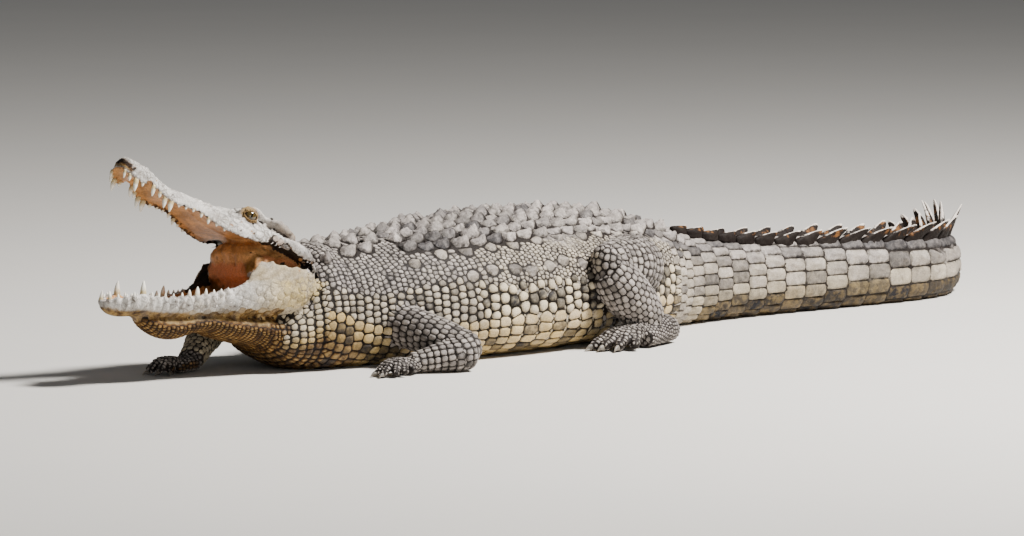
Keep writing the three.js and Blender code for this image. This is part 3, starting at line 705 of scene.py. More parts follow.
def sculpt_moves(points, normals):
    """How far the skin moves along its normals, in mm: sockets, lumps, nostrils, ears and folds."""
    move = np.zeros(len(points))
    u, v = into(UPPER, points), into(LOWER, points)
    nu = normals @ UPPER[0].T
    near = np.where((u[:, 0] > -60) & (v[:, 2] > -230) & (u[:, 2] < 160))[0]
    u, v, nu, place = u[near], v[near], nu[near], points[near]
    d = np.zeros(len(near))
    x, y, z = u[:, 0], np.abs(u[:, 1]), u[:, 2]
    half, lip = skull_shape(x)[:, 0], skull_shape(x)[:, 1]
    skull = (z > lip - 5) & (y < half + 8) & (x > -20)
    outer = skull & ~((nu[:, 2] < -0.15) & (y < half * 0.95))
    crust = roughness_at(place, 15, 3.0) * 3.2 + roughness_at(place, 6.5, 8.0, 2) * 1.2
    d += np.where(outer, crust * ramp((x - 20) / 80) * (0.6 + 0.4 * ramp((z - lip - 8) / 14)), 0)
    palate = skull & ~outer
    d += np.where(palate & (x > 150), roughness_at(place, 9, 5.0, 2) * 0.8, 0)
    for at, _, radius, _ in UPPER_TEETH:
        t_half, t_lip = skull_shape(at)[:2]
        reach = bump(x - at, radius + 3) * bump(y - t_half, 9) * bump(z - t_lip - 7, 9)
        d += np.where(skull, 3.4 * reach, 0)
        d -= np.where(skull, 1.6 * bump(x - at - radius - 6, 3) * bump(y - t_half, 8) * bump(z - t_lip, 8), 0)
    nostril = bump(x - 553, 6.5) * bump(y - 11.5 - (x - 553) * 0.5, 3.6)
    d -= np.where(outer, 7.5 * nostril * ramp((z - 50) / 5), 0)
    d += np.where(outer, 2.5 * bump(x - 553, 9) * bump(y - 19, 4) * ramp((z - 45) / 8), 0)
    ear = bump(z - 84 - (x - 110) * 0.03, 4.5) * ramp((y - 52) / 8) * (1 - ramp((y - 84) / 6))
    d -= np.where(outer, 9 * ear * ramp((x - 62) / 14) * (1 - ramp((x - 150) / 16)), 0)
    # lower jaw
    x, y, z = v[:, 0], np.abs(v[:, 1]), v[:, 2]
    shape = jaw_shape(x)
    half, rim, depth, wall = shape[:, 0], shape[:, 1], shape[:, 2], shape[:, 3]
    jaw = (x > -45) & (x < 562) & (z < rim + 9) & (z > rim - depth - 6) & (y < half + 6) & (u[:, 2] < 8)
    side = jaw & (y > half - wall * 0.9)
    below = rim - z
    for at, _, radius, _ in LOWER_TEETH:
        t_half = jaw_shape(at)[0]
        lump = bump(x - at, radius + 2) * ramp((30 - below) / 16) * ramp((below + 9) / 8)
        d += np.where(side, 3.0 * lump, 0)
        d -= np.where(side, 2.2 * bump(x - at - radius - 5, 3.2) * ramp((34 - below) / 14), 0)
        socket = bump(np.hypot(x - at, y - t_half + radius + 2), radius + 3.5)
        d += np.where(jaw & (below < 8), 2.4 * socket, 0)
    d += np.where(side, crust * 0.45, 0)
    gullet = (x > 0) & (x < 180) & (y < 86) & (z > rim - depth * 0.5) & (z < 110)
    fold = np.sin((z + 0.5 * x + 7 * roughness_at(place, 30, 3.0, 2)) / 7.5)
    d += np.where(gullet, 3.0 * fold + 2.5 * roughness_at(place, 12, 5.0, 2), 0)
    flap = (x > -10) & (x < 220) & (z > -20) & (z < 62) & (y > 90) & (y < 140) & ~jaw & (u[:, 2] < 20)
    crease = np.sin((z * 0.9 + x * 0.42) / 3.6 + 1.4 * roughness_at(place, 40, 2.0, 2))
    d += np.where(flap, 2.1 * crease + 0.9 * roughness_at(place, 7, 6.0, 2), 0)
    move[near] = d
    return move


def eye_hollows(points):
    """Sinks the skin behind each eye's opening, where the lids stand over the eyeball."""
    points = points.copy()
    for side in (1, -1):
        centre, axes = eye_frame(side)
        step = (points - centre) / MM
        far = np.linalg.norm(step, axis=1)
        near = np.where(far < 36)[0]
        across = step[near] @ axes[2] / np.maximum(far[near], 1e-6)
        open_ = ramp((across - 0.16) / 0.2)
        reach = far[near] + (np.minimum(far[near], 16.5) - far[near]) * open_
        points[near] = centre + step[near] * (reach / np.maximum(far[near], 1e-6))[:, None] * MM
    return points


def neck_folds(points):
    """Low folds of skin across the neck and before the hips, in mm."""
    x, y, z = points.T / MM
    neck = ramp((x + 960) / 60) * (1 - ramp((x + 640) / 90))
    hips = ramp((x - 120) / 60) * (1 - ramp((x - 330) / 60))
    folds = 2.5 * np.sin((x + 0.35 * np.abs(y)) / 17.0) * neck + 1.5 * np.sin((x - 0.3 * z) / 15.0) * hips
    return folds * ramp((z - 20) / 40)


def build_skin(voxel, most_faces):
    """One closed skin over head, body, tail, limbs and feet."""
    pieces = [flesh_body(), flesh_skull(), flesh_jaw(), flesh_flap(1), flesh_flap(-1)]
    pieces += [lobe(POUCH, 3.0), lobe(THROAT, 0.8, 0.85), *head_ridges()]
    for name, leg in LIMBS.items():
        kind, side = limb_kind(name)
        # a round knee or elbow
        x, y, z, wide, tall = leg["upper"][-1]
        pieces.append(blob(WORLD, (x, y, z), (0.75 * wide, 0.97 * wide, 0.97 * tall)))
        for rows in (leg["upper"], leg["lower"], palm_rows(leg, kind)):
            pieces.append(tube(limb_rings(rows)[0]))
        for path in toe_paths(leg, kind, side):
            pieces.append(tube(toe_rings(path, kind)[0]))
    skin = mesh_object("skin", *merge(pieces))
    apply_modifier(skin, "REMESH", mode="VOXEL", voxel_size=voxel, use_smooth_shade=True)
    apply_modifier(skin, "SMOOTH", factor=0.5, iterations=5)
    mesh = skin.data
    points, normals = vertices_of(mesh), normals_of(mesh)
    moves = sculpt_moves(points, normals) + neck_folds(points)
    points = eye_hollows(points + normals * moves[:, None] * MM)
    points[:, 2] = np.maximum(points[:, 2], SKIN_GAP * MM)
    put_vertices(mesh, points)
    mesh.calc_loop_triangles()
    count = len(mesh.loop_triangles)
    if count > most_faces:
        # the body is thinned before the limbs, and the head least
        body = skin.vertex_groups.new(name="body")
        weight = ramp((30 - into(UPPER, points)[:, 0]) / 100)
        weight = np.where(np.abs(points[:, 1]) > 0.26, weight * 0.6, weight)
        for level in range(11):
            chosen = np.where(np.round(weight * 10) == level)[0].tolist()
            if chosen:
                body.add(chosen, level / 10, "REPLACE")
        share = most_faces / count
        apply_modifier(skin, "DECIMATE", ratio=share, vertex_group="body", vertex_group_factor=1.0)
        skin.vertex_groups.clear()
    mesh = skin.data
    mesh.polygons.foreach_set("use_smooth", [True] * len(mesh.polygons))
    return skin


class Ground:
    """The finished skin, as something to set scales on."""

    def __init__(self, skin):
        mesh = skin.data
        mesh.calc_loop_triangles()
        self.points = vertices_of(mesh)
        triangles = np.empty(len(mesh.loop_triangles) * 3, np.int32)
        mesh.loop_triangles.foreach_get("vertices", triangles)
        triangles = triangles.reshape(-1, 3)
        self.tree = BVHTree.FromPolygons(self.points.tolist(), triangles.tolist(), all_triangles=True)
        self.normals = unit(normals_of(mesh)[triangles].sum(1))

    def nearest(self, places):
        """The nearest place on the skin to each place, the skin's normal there, and how far it is."""
        hits = np.zeros((len(places), 3))
        normals = np.zeros((len(places), 3))
        distance = np.full(len(places), 1e9)
        for i, place in enumerate(places.tolist()):
            hit, _, index, far = self.tree.find_nearest(place, 0.05)
            if hit is not None:
                hits[i], normals[i], distance[i] = hit, self.normals[index], far
        return hits, normals, distance

    def height(self, places, normals, reach):
        """Height of the skin over each place along its normal, in metres."""
        starts = places + normals * reach
        found = np.full(len(places), np.nan)
        down = (-normals).tolist()
        for i, start in enumerate(starts.tolist()):
            hit, _, _, far = self.tree.ray_cast(start, down[i], 2.4 * reach)
            if hit is not None:
                found[i] = reach - far
        return found


# ---------- where the scales root
# A scale's look where its field doesn't say. Height, keel, lumps and gap are mm. The slab's number is
# higher for a flatter top, and the corners' for squarer ones. Belly runs from the back's colour at 0 to
# the pouch's at 1.
PLAIN_LOOK = {
    "height": 2.0, "slab": 4.0, "keel": 0.0, "keel_width": 0.35, "tilt": 0.0, "lumps": 0.2, "corners": 9.0,
    "gap": 1.0, "belly": 0.4, "dark": 0.0, "group": 0,
}


def sites(places, along, half_length, half_width, chart, **look):
    """One field of scales as a table of numbers. The chart is the place on an unwrap of the skin, in mm."""
    n = len(places)
    table = {
        "place": np.asarray(places, float).reshape(n, 3),
        "along": np.asarray(along, float).reshape(n, 3),
        "chart": np.asarray(chart, float).reshape(n, 2),
    }
    for key, value in {"long": half_length, "wide": half_width, **PLAIN_LOOK, **look}.items():
        table[key] = np.broadcast_to(np.asarray(value, float), n).copy()
    return table


def gather(tables):
    return {key: np.concatenate([t[key] for t in tables]) for key in tables[0]}


def pick(table, chosen):
    return {key: value[chosen] for key, value in table.items()}


def body_sites(station, down, half_length, half_width, **look):
    """Scales at stations and distances down the flank from the back's middle line."""
    station, down = np.asarray(station, float), np.asarray(down, float)
    angle = body_angle(station, down)
    depth = coat_depth(station, angle)
    place = body_point(station, angle, -depth)
    ahead = body_point(station + 4, body_angle(station + 4, down), -depth)
    return sites(place, ahead - place, half_length, half_width, np.stack([station, down], 1), **look)


def row_sites(rows, **look):
    """Scales that fill the room that body_rows found for each."""
    return body_sites(rows[:, 0], rows[:, 1], rows[:, 2] * 0.5, rows[:, 3] * 0.5, **look)


def body_rows(columns, top, bottom, pitch, rng, stagger=0.5, jitter=0.08):
    """Columns of scales between two lines on both flanks: station, distance down, length, width and row."""
    found = []
    columns = np.asarray(columns, float)
    gaps = np.gradient(columns)
    for side in (1, -1):
        for k, (station, gap) in enumerate(zip(columns, gaps)):
            a, b, step = float(top(station)), float(bottom(station)), float(pitch(station))
            if b - a < 0.5 * step:
                continue
            rows = max(1, round((b - a) / step))
            real = (b - a) / rows
            for row in range(rows):
                down = a + (row + 0.5 + 0.25 * stagger * (1 if k % 2 else -1)) * real
                along = station + rng.normal() * jitter * gap
                found.append((along, side * (down + rng.normal() * jitter * real), gap, real, row))
    return np.array(found).reshape(-1, 5)


def steps(start, stop, pitch):
    """Stations from start to stop, a changing pitch apart."""
    at, found = start, []
    while at < stop:
        gap = float(pitch(at))
        found.append(at + gap / 2)
        at += gap
    return np.array(found)


def between(rows):
    """A smooth value by station, through the rows."""
    look = profile(rows)
    return lambda at: float(look(np.float64(at))[0])


def away_from(table, big, share=0.9):
    """Leaves out small scales that a big one covers."""
    tree = tree_of(big["place"])
    keep = []
    for i, place in enumerate(table["place"].tolist()):
        clear = True
        for hit, j, _ in tree.find_n(place, 3):
            step = np.array(place) - np.array(hit)
            along = step @ unit(big["along"][j])
            across = math.sqrt(max(float(step @ step - along * along), 0))
            reach_long = (big["long"][j] + 0.45 * table["long"][i]) * MM * share
            reach_wide = (big["wide"][j] + 0.45 * table["wide"][i]) * MM * share
            if (along / reach_long) ** 2 + (across / reach_wide) ** 2 < 1:
                clear = False
        keep.append(clear)
    return pick(table, np.array(keep, bool))


# Lines along the body, as distances down the flank: below the shields, below the beads, above the belly.
DORSAL_EDGE = between([
    (-80, 20), (40, 40), (110, 118), (160, 134), (250, 138), (330, 146), (450, 176), (560, 200), (800, 214),
    (1000, 205), (1150, 180), (1300, 150), (1400, 130), (1500, 120),
])
DOME_EDGE = between([
    (-80, 30), (100, 190), (250, 236), (400, 262), (560, 318), (800, 336), (1000, 318), (1150, 270),
    (1300, 220), (1400, 190),
])
BELLY_EDGE = between([
    (-80, 120), (0, 150), (100, 250), (250, 320), (400, 370), (560, 402), (800, 425), (1000, 410),
    (1150, 360), (1300, 300), (1400, 260),
])

BACK, FLANK, NECK, BELLY, TAIL = range(5)


def back_shields(rng):
    """The large shields: rows across the back, the nape's, and ovals that stand alone on the upper flank."""
    rows = body_rows(steps(322, 1392, lambda s: 53), lambda s: 2, DORSAL_EDGE, lambda s: 43, rng, 0.0, 0.05)
    share = np.abs(rows[:, 1]) / np.array([DORSAL_EDGE(s) for s in rows[:, 0]])
    size = rng.normal(0, 1, len(rows))
    back = body_sites(
        rows[:, 0], rows[:, 1], 25 + 2 * size, 21 - 2 * share + 1.5 * size, height=8 + 1.4 * size,
        keel=8.5 + 3 * size, keel_width=0.42, tilt=0.5, lumps=7.5, corners=6, gap=1.6,
        belly=0.02 + 0.1 * share, dark=0.9 * rng.random(len(rows)) ** 2, group=BACK,
    )
    nape = [(44, 24), (58, 68), (98, 104), (178, 32), (186, 88), (240, 30), (244, 84), (294, 46)]
    nape = np.array([(s, side * a) for s, a in nape for side in (1, -1)], float)
    front = nape[:, 0] < 120
    neck = body_sites(
        nape[:, 0], nape[:, 1], np.where(front, 19, 29), np.where(front, 19, 26), height=8, slab=4.5,
        keel=np.where(front, 13, 14), keel_width=0.45, tilt=0.3, lumps=5, corners=5, gap=1.2, belly=0.04,
        dark=rng.random(len(nape)) * 0.3, group=BACK,
    )
    ovals = []
    for side in (1, -1):
        for share, start, stop, step in ((0.285, 330, 1180, 82), (0.39, 470, 1160, 62)):
            for s in np.arange(start, stop, step):
                s = s + rng.normal() * 6
                ovals.append((s, side * share * flank_length(s) * (1 + rng.normal() * 0.02)))
    ovals = np.array(ovals)
    flank = body_sites(
        ovals[:, 0], ovals[:, 1], 26 + 2 * rng.normal(size=len(ovals)), 15.5, height=4.2, slab=2.4,
        keel=4.5 + 3.5 * rng.random(len(ovals)), keel_width=0.3, tilt=0.35, lumps=1.2, corners=5, gap=0.9,
        belly=0.18, dark=0.7 * rng.random(len(ovals)) ** 3, group=BACK,
    )
    return gather([back, neck, flank])


def small_scales(rng):
    """Beads and domes of the flanks, belly plates and the scales of neck and throat."""
    # soft skin with small beads
    rows = body_rows(
        steps(20, 1380, between([(20, 15), (330, 15), (420, 17), (560, 14), (1380, 14)])),
        lambda s: 3 if s < 330 else DORSAL_EDGE(s) + 6, DOME_EDGE,
        between([(20, 12), (330, 12), (420, 13), (560, 11), (1380, 11)]), rng, 1.0, 0.13,
    )
    beads = row_sites(
        rows, slab=2.4, corners=7, gap=0.8, belly=0.12 + 0.1 * ramp((rows[:, 0] - 300) / 300),
        dark=0.45 * rng.random(len(rows)) ** 2, group=FLANK,
    )
    # shoulder: beads in slanting rows
    rows = body_rows(
        steps(60, 470, between([(60, 21), (250, 22), (470, 25)])), DOME_EDGE, BELLY_EDGE,
        between([(60, 16), (300, 16), (470, 20)]), rng, 1.0, 0.07,
    )
    dark = rng.random(len(rows)) ** 4 * 0.8
    shoulder = row_sites(rows, height=4.2, slab=2.8, corners=6, gap=1.1, belly=0.24, dark=dark, group=NECK)
    # flank: domes
    rows = body_rows(steps(470, 1310, lambda s: 31), DOME_EDGE, BELLY_EDGE, lambda s: 25, rng, 0.7, 0.06)
    lower = ramp((np.abs(rows[:, 1]) / flank_length(rows[:, 0]) - 0.62) / 0.2)
    domes = row_sites(
        rows, height=7.2, slab=2.5, corners=6, gap=1.5,
        belly=0.36 + 0.16 * lower + 0.14 * rng.random(len(rows)),
        dark=(rng.random(len(rows)) < 0.28) * (0.8 + 0.2 * rng.random(len(rows))), group=FLANK,
    )
    # belly: rows of rectangular plates
    columns = steps(60, 1312, between([(60, 25), (300, 28), (520, 33), (600, 50), (1380, 46)]))
    rows = body_rows(columns, BELLY_EDGE, flank_length, lambda s: 26, rng, 0.0, 0.03)
    belly = row_sites(
        rows, height=3.8, slab=5, corners=10, gap=1.7, tilt=0.25,
        belly=0.6 + 0.08 * ramp(rows[:, 4] / 4) + 0.16 * ramp((260 - rows[:, 0]) / 120),
        dark=(rng.random(len(rows)) < 0.3) * (0.7 + 0.3 * rng.random(len(rows))), group=BELLY,
    )
    # throat and the sides of the neck
    rows = body_rows(
        steps(-70, 75, lambda s: 21), lambda s: 0.05 * flank_length(s), flank_length,
        lambda s: 15.5, rng, 1.0, 0.06,
    )
    rows = rows[(rows[:, 0] < 55) | (np.abs(rows[:, 1]) > 0.3 * flank_length(rows[:, 0]))]
    lower = np.abs(rows[:, 1]) / flank_length(rows[:, 0])
    throat = row_sites(
        rows, height=3.8, slab=2.8, corners=7, gap=1.3, belly=0.34 + 0.5 * ramp((lower - 0.38) / 0.25),
        dark=0.3 * rng.random(len(rows)), group=NECK,
    )
    return gather([beads, shoulder, domes, belly, throat])


def tail_scales(rng):
    """Rings of large plates, one ring to each whorl of the crest."""
    pitch = between([
        (1310, 22), (1400, 26), (1500, 30), (1700, 34), (1900, 38), (2100, 44), (2350, 44),
        (2700, 32), (3000, 22), (3270, 12),
    ])
    narrow = list(np.linspace(1312, CREST_FROM, 4)[:-1])
    edges = narrow + WHORLS + list(np.arange(WHORLS[-1] + 24, 3270, 22.0))
    found, middle = [], []
    for start, stop in zip(edges, edges[1:]):
        station, half = (start + stop) / 2, (stop - start) / 2
        length = float(flank_length(station))
        gap = float(crest_shape(min(max(station, CREST_FROM), CREST_TO))[1]) * 0.75
        top = min(gap, 0.2 * length) if station > CREST_FROM else DORSAL_EDGE(station)
        rows = max(2, round((length - top) / pitch(station)))
        wide = (length - top) / rows / 2
        for side in (1, -1):
            for row in range(rows):
                down = top + (2 * row + 1) * wide
                found.append((station, side * (down + rng.normal() * 1.0), half, wide, down / length, row))
        if CREST_FROM < station < CREST_MERGE:
            columns = max(1, round(2 * gap / 34))
            for c in range(columns):
                middle.append((station, (c + 0.5) / columns * 2 * gap - gap + 0.01, half, gap / columns))
    station, down, half, wide, share, row = np.array(found).T
    keeled = (station > CREST_FROM) & (share < 0.45)
    keel = np.where(keeled, 7.5, 0) * ramp((2500 - station) / 300) * np.maximum(1 - 0.2 * row, 0)
    fade = 1 - ramp((station - 2600) / 600) * 0.4
    low = ramp((share - 0.52) / 0.16) * ramp((station - 1380) / 160)
    chance = rng.random(len(found))
    dark = np.where(chance < 0.3, 0.45 + 0.45 * rng.random(len(found)), 0.2)
    # painted shade: the lower rows, on the tail's underside, are made dark
    dark = np.maximum(dark, np.sqrt(low) * (0.82 + 0.18 * rng.random(len(found))))
    # painted shadow of the tall blades on the top row of plates, over hide that is darker there too
    blade_shadow_and_dark_hide = ramp((station - 1850) / 150) * ramp((2650 - station) / 100)
    dark = np.maximum(dark, 0.85 * (row == 0) * blade_shadow_and_dark_hide)
    sides = body_sites(
        station, down, half, wide, height=4.2 * fade, slab=7, keel=keel, keel_width=0.3, tilt=0.9, lumps=2.2,
        corners=14, gap=1.2 * fade, belly=0.1 + 0.12 * ramp((share - 0.2) / 0.25) + 0.56 * low,
        dark=dark, group=TAIL,
    )
    top = body_sites(
        *np.array(middle).T, height=3.5, slab=6, keel=2.5, tilt=0.3, lumps=1.4, gap=1.4, belly=0.04, dark=0.1,
        group=TAIL,
    )
    return gather([sides, top])


def ring_scales(rings, along, pitch, corner, rng, keep=None, stagger=0.5, dark=0.3, **look):
    """Scales in rings round a limb or toe. Pitch is along and around, corner the place on the unwrap."""
    centres = rings.mean(1)
    run = np.concatenate([[0], np.cumsum(np.linalg.norm(np.diff(centres, axis=0), axis=1))]) / MM
    count = max(2, round(run[-1] / pitch[0]))
    around = rings.shape[1]
    places, directions, wide, chart = [], [], [], []
    for k in range(count):
        at = (k + 0.5) / count * run[-1]
        i = float(np.interp(at, run, np.arange(len(run))))
        low = int(i)
        high = min(low + 1, len(rings) - 1)
        ring = rings[low] * (1 - (i - low)) + rings[high] * (i - low)
        edges = np.linalg.norm(np.roll(ring, -1, 0) - ring, axis=1) / MM
        girth = np.concatenate([[0], np.cumsum(edges)])
        number = max(4, round(girth[-1] / pitch[1]))
        for c in range(number):
            share = ((c + stagger * (k % 2) + rng.normal() * 0.05) / number) % 1.0
            j = float(np.interp(share * girth[-1], girth, np.arange(around + 1)))
            a, b = int(j) % around, (int(j) + 1) % around
            place = ring[a] * (1 - (j - int(j))) + ring[b] * (j - int(j))
            place = place + along[low] * rng.normal() * 0.05 * pitch[0] * MM
            if keep is None or keep(place, centres[low]):
                places.append(place)
                directions.append(along[low])
                wide.append(girth[-1] / number / 2)
                chart.append((corner[0] + share * girth[-1], corner[1] + at))
    dark = np.clip(dark + rng.normal(size=len(places)) * 0.25, 0, 1)
    return sites(places, directions, run[-1] / count / 2, wide, chart, dark=dark, **look)


def limb_scales(name, leg, rng):
    """Scales of one limb: overlapping rows above, small ones on the foot, scutes on the toes."""
    kind, side = limb_kind(name)
    hind = kind == "hind"
    shared = {"dark": 0.18 if hind else 0.25, "gap": 0.8, "rng": rng}
    arm = {"height": 2.6, "slab": 4.5, "tilt": 0.5, "corners": 8, "lumps": 0.5, **shared}
    palm = {"height": 2.5, "slab": 2.3, "corners": 6, "lumps": 0.6, **shared, "gap": 1.0}
    toe = {"height": 2.2, "slab": 3.0, "tilt": 0.5, "corners": 9, "lumps": 0.4, **shared}
    column = 700 * list(LIMBS).index(name)
    lower, along = limb_rings(leg["lower"])
    found = [
        ring_scales(
            *limb_rings(leg["upper"]), (25, 19) if hind else (19, 16), (column, 0), belly=0.06, **arm,
        ),
        ring_scales(
            lower, along, (19, 17) if hind else (18, 16), (column, 500),
            # painted light: the lower right foreleg takes half the belly's pale colour, the left one does not
            belly=0.06 if hind or side > 0 else 0.5, **arm,
        ),
        ring_scales(
            *limb_rings(palm_rows(leg, kind)), (10.5, 9.5), (column, 900),
            keep=lambda place, centre: place[2] > 0.006, belly=0.06, **palm,
        ),
    ]
    for k, path in enumerate(toe_paths(leg, kind, side)):
        found.append(ring_scales(
            *toe_rings(path, kind), (10.5, 15) if hind else (8.5, 12), (column + 130 * k, 1150),
            keep=lambda place, centre: place[2] > centre[2] - 0.004, stagger=0.0, belly=0.1, **toe,
        ))
    if hind:
        # the pointed fringe down the back of the shank
        places = np.array([ring[np.argmax(ring[:, 0])] for ring in lower[6:40:4]])
        chart = np.stack([np.full(len(places), column + 650.0), 500 + 25.0 * np.arange(len(places))], 1)
        found.append(sites(
            places, along[6:40:4], 11, 8, chart, height=5, slab=3, keel=11, keel_width=0.45, tilt=0.4,
            corners=5, belly=0.15, dark=0.3, lumps=0.4,
        ))
    return gather(found)


def jaw_sites(jaw, places, half_length, half_width, chart, **look):
    """Scales that lie forwards on a jaw, from places in its frame."""
    ahead = np.tile([-1.0, 0, 0], (len(places), 1)) @ jaw[0]
    return sites(out_of(jaw, places), ahead, half_length, half_width, chart, **look)


POUCH_SCALES, JAW_SCALES, CROWN_SCALES = range(3)


def head_scales(rng):
    """Low polygons of the cheeks and jaws, and the small scales of the pouch."""
    found = []
    low_plate = {"slab": 5, "corners": 9, "gap": 0.5}
    for side in (1, -1):
        # side of the lower jaw, from the rear forwards
        places = []
        for k, x in enumerate(np.arange(-34, 330, 19.0)):
            half, rim, depth = jaw_shape(x)[:3]
            rows = max(2, round(depth * 0.95 / 15)) + 2
            for row in range(rows):
                a = (row + 0.5 + 0.5 * (k % 2)) / rows * 0.62 * np.pi
                along = x + rng.normal() * 1.5
                across = side * half * power(np.cos(a), 0.8)
                places.append((along, across, rim - depth * abs(np.sin(a)) ** 0.75))
        places = np.array(places)
        fade = 1 - 0.75 * ramp((places[:, 0] - 120) / 120)
        chart = np.stack([places[:, 0], side * (400 - places[:, 2])], 1)
        found.append(jaw_sites(
            LOWER, places, 10, 8.5, chart, height=1.1 * fade, lumps=0.8, group=JAW_SCALES, **low_plate,
        ))
        # cheek and temple
        places = []
        for k, x in enumerate(np.arange(8, 250, 15.0)):
            half = skull_shape(x)[0]
            for y in np.arange(56 if x < 200 else 40, half - 2, 13.0) + 6.5 * (k % 2):
                if y < half - 2 and math.hypot(x - EYE_AT[0], y - EYE_AT[1]) > 30:
                    top = float(skull_top(np.float64(x), np.float64(y)))
                    places.append((x + rng.normal() * 1.5, side * y, top))
        places = np.array(places)
        found.append(jaw_sites(
            UPPER, places, 8.5, 7.5, places[:, :2], height=1.2, lumps=1.4, belly=0.1, dark=0.05,
            group=CROWN_SCALES, **low_plate,
        ))
    # the pouch under the jaw
    places, look = [], profile(POUCH)
    for k, x in enumerate(np.arange(24, 460, 11.5)):
        half, low, high = look(x)
        middle, tall = (high + low) / 2, (high - low) / 2
        girth = math.pi * math.sqrt((half**2 + tall**2) / 2)
        rows = max(4, round(girth / 9.5))
        for row in range(rows):
            a = math.pi + math.pi * (row + 0.5 * (k % 2)) / rows
            along = x + rng.normal() * 0.8
            places.append((along, (half - 3) * math.cos(a), middle + (tall - 3) * math.sin(a)))
    places = np.array(places)
    chart = np.stack([places[:, 0], 700 + 1.6 * places[:, 1]], 1)
    found.append(jaw_sites(
        LOWER, places, 6.6, 4.6, chart, height=1.9, slab=2.4, corners=7, gap=0.6, lumps=0.3,
        belly=0.86, dark=0.2, group=POUCH_SCALES,
    ))
    return gather(found)


# ---------- growing the scales
def land(table, ground, tolerance=7.0):
    """Moves each place to the skin, and leaves out those that another part covers, which lie deep inside."""
    hits, normals, far = ground.nearest(table["place"])
    keep = far < tolerance * MM
    table = pick(table, keep)
    table["place"], table["normal"] = hits[keep], normals[keep]
    return table


def tree_of(places):
    tree = KDTree(len(places))
    for i, place in enumerate(places.tolist()):
        tree.insert(place, i)
    tree.balance()
    return tree


def bare_places(every, ground, pitch, rng):
    """Points of the skin that no scale reaches, a pitch apart, and the scale that is nearest to each."""
    reach = np.sqrt(every["long"] * every["wide"])
    tree = tree_of(every["place"])
    chosen, like, taken = [], [], {}
    for i in rng.permutation(len(ground.points)).tolist():
        place = ground.points[i]
        # none are added under the animal or on its head
        if place[2] < 0.005 or (place[0] < -0.845 and place[2] > 0.12):
            continue
        _, near, far = tree.find(place.tolist())
        if far / MM < max(1.2 * reach[near] + 0.5 * pitch, 2.1 * reach[near] * (reach[near] > 12)):
            continue
        x, y, z = np.floor(place / (pitch * MM)).astype(int).tolist()
        around = [
            taken.get((x + a, y + b, z + c)) for a in (-1, 0, 1) for b in (-1, 0, 1) for c in (-1, 0, 1)
        ]
        if all(other is None or np.sum((other - place) ** 2) > (0.95 * pitch * MM) ** 2 for other in around):
            taken[x, y, z] = place
            chosen.append(place)
            like.append(near)
    return np.array(chosen), np.array(like, int)


def fill_bare(fields, ground, pitch, rng):
    """Adds small scales to each field where the skin is left bare, like the nearest scale there is."""
    every = gather(list(fields.values()))
    owner = np.concatenate([np.full(len(t["place"]), k) for k, t in enumerate(fields.values())])
    chosen, like = bare_places(every, ground, pitch, rng)
    for k, (name, table) in enumerate(list(fields.items())):
        mine = owner[like] == k
        if mine.any():
            extra = pick(every, like[mine])
            step = (chosen[mine] - extra["place"]) / MM
            ahead = unit(extra["along"])
            across = unit(np.cross(extra["normal"], ahead))
            extra["chart"] = extra["chart"] + np.stack([(step * ahead).sum(1), (step * across).sum(1)], 1)
            extra["place"] = chosen[mine]
            extra["long"][:], extra["wide"][:], extra["keel"][:] = 0.55 * pitch, 0.52 * pitch, 0
            extra["height"] = np.minimum(extra["height"], 2.4)
            extra["gap"][:], extra["corners"][:] = 1.0, 6
            fields[name] = gather([table, land(extra, ground)])


def plate_outline(table, around, tangents, directions):
    """How far each scale reaches in each direction, in mm, sharing the room with its neighbours."""
    centre = table["place"]
    n = len(centre)
    every = gather([table, around])
    tree = tree_of(every["place"])
    near = 14
    others = np.array([
        [j for _, j, _ in tree.find_n(place, near + 1) if j != i][:near]
        for i, place in enumerate(centre.tolist())
    ])
    step = (every["place"][others] - centre[:, None]) / MM
    flat = np.stack([(step * axis[:, None]).sum(2) for axis in tangents], 2)
    turn = circle(directions) + np.pi / directions
    rays = np.stack([np.cos(turn), np.sin(turn)], 1)
    reach = np.sqrt(every["long"] * every["wide"])
    # borders lie between neighbours, nearer to the smaller one
    apart = (flat**2).sum(2)
    span = np.maximum(apart + (reach[:n] ** 2)[:, None] - reach[others] ** 2, 0.25 * apart)
    inverse = np.maximum(2 * (flat @ rays.T) / np.maximum(span, 1e-6)[..., None], 0)
    stretch = 1.45
    sizes = (table["long"], table["wide"])
    cap = np.sqrt(sum((rays[:, k] / (size * stretch)[:, None]) ** 2 for k, size in enumerate(sizes)))
    p = table["corners"][:, None]
    radius = (np.sum(np.minimum(inverse, 4) ** p[..., None], axis=1) + cap**p) ** (-1 / p)
    radius = np.maximum(radius - table["gap"][:, None] * 0.5, 1.2)
    return radius, radius * rays[:, 0], radius * rays[:, 1], reach[:n]


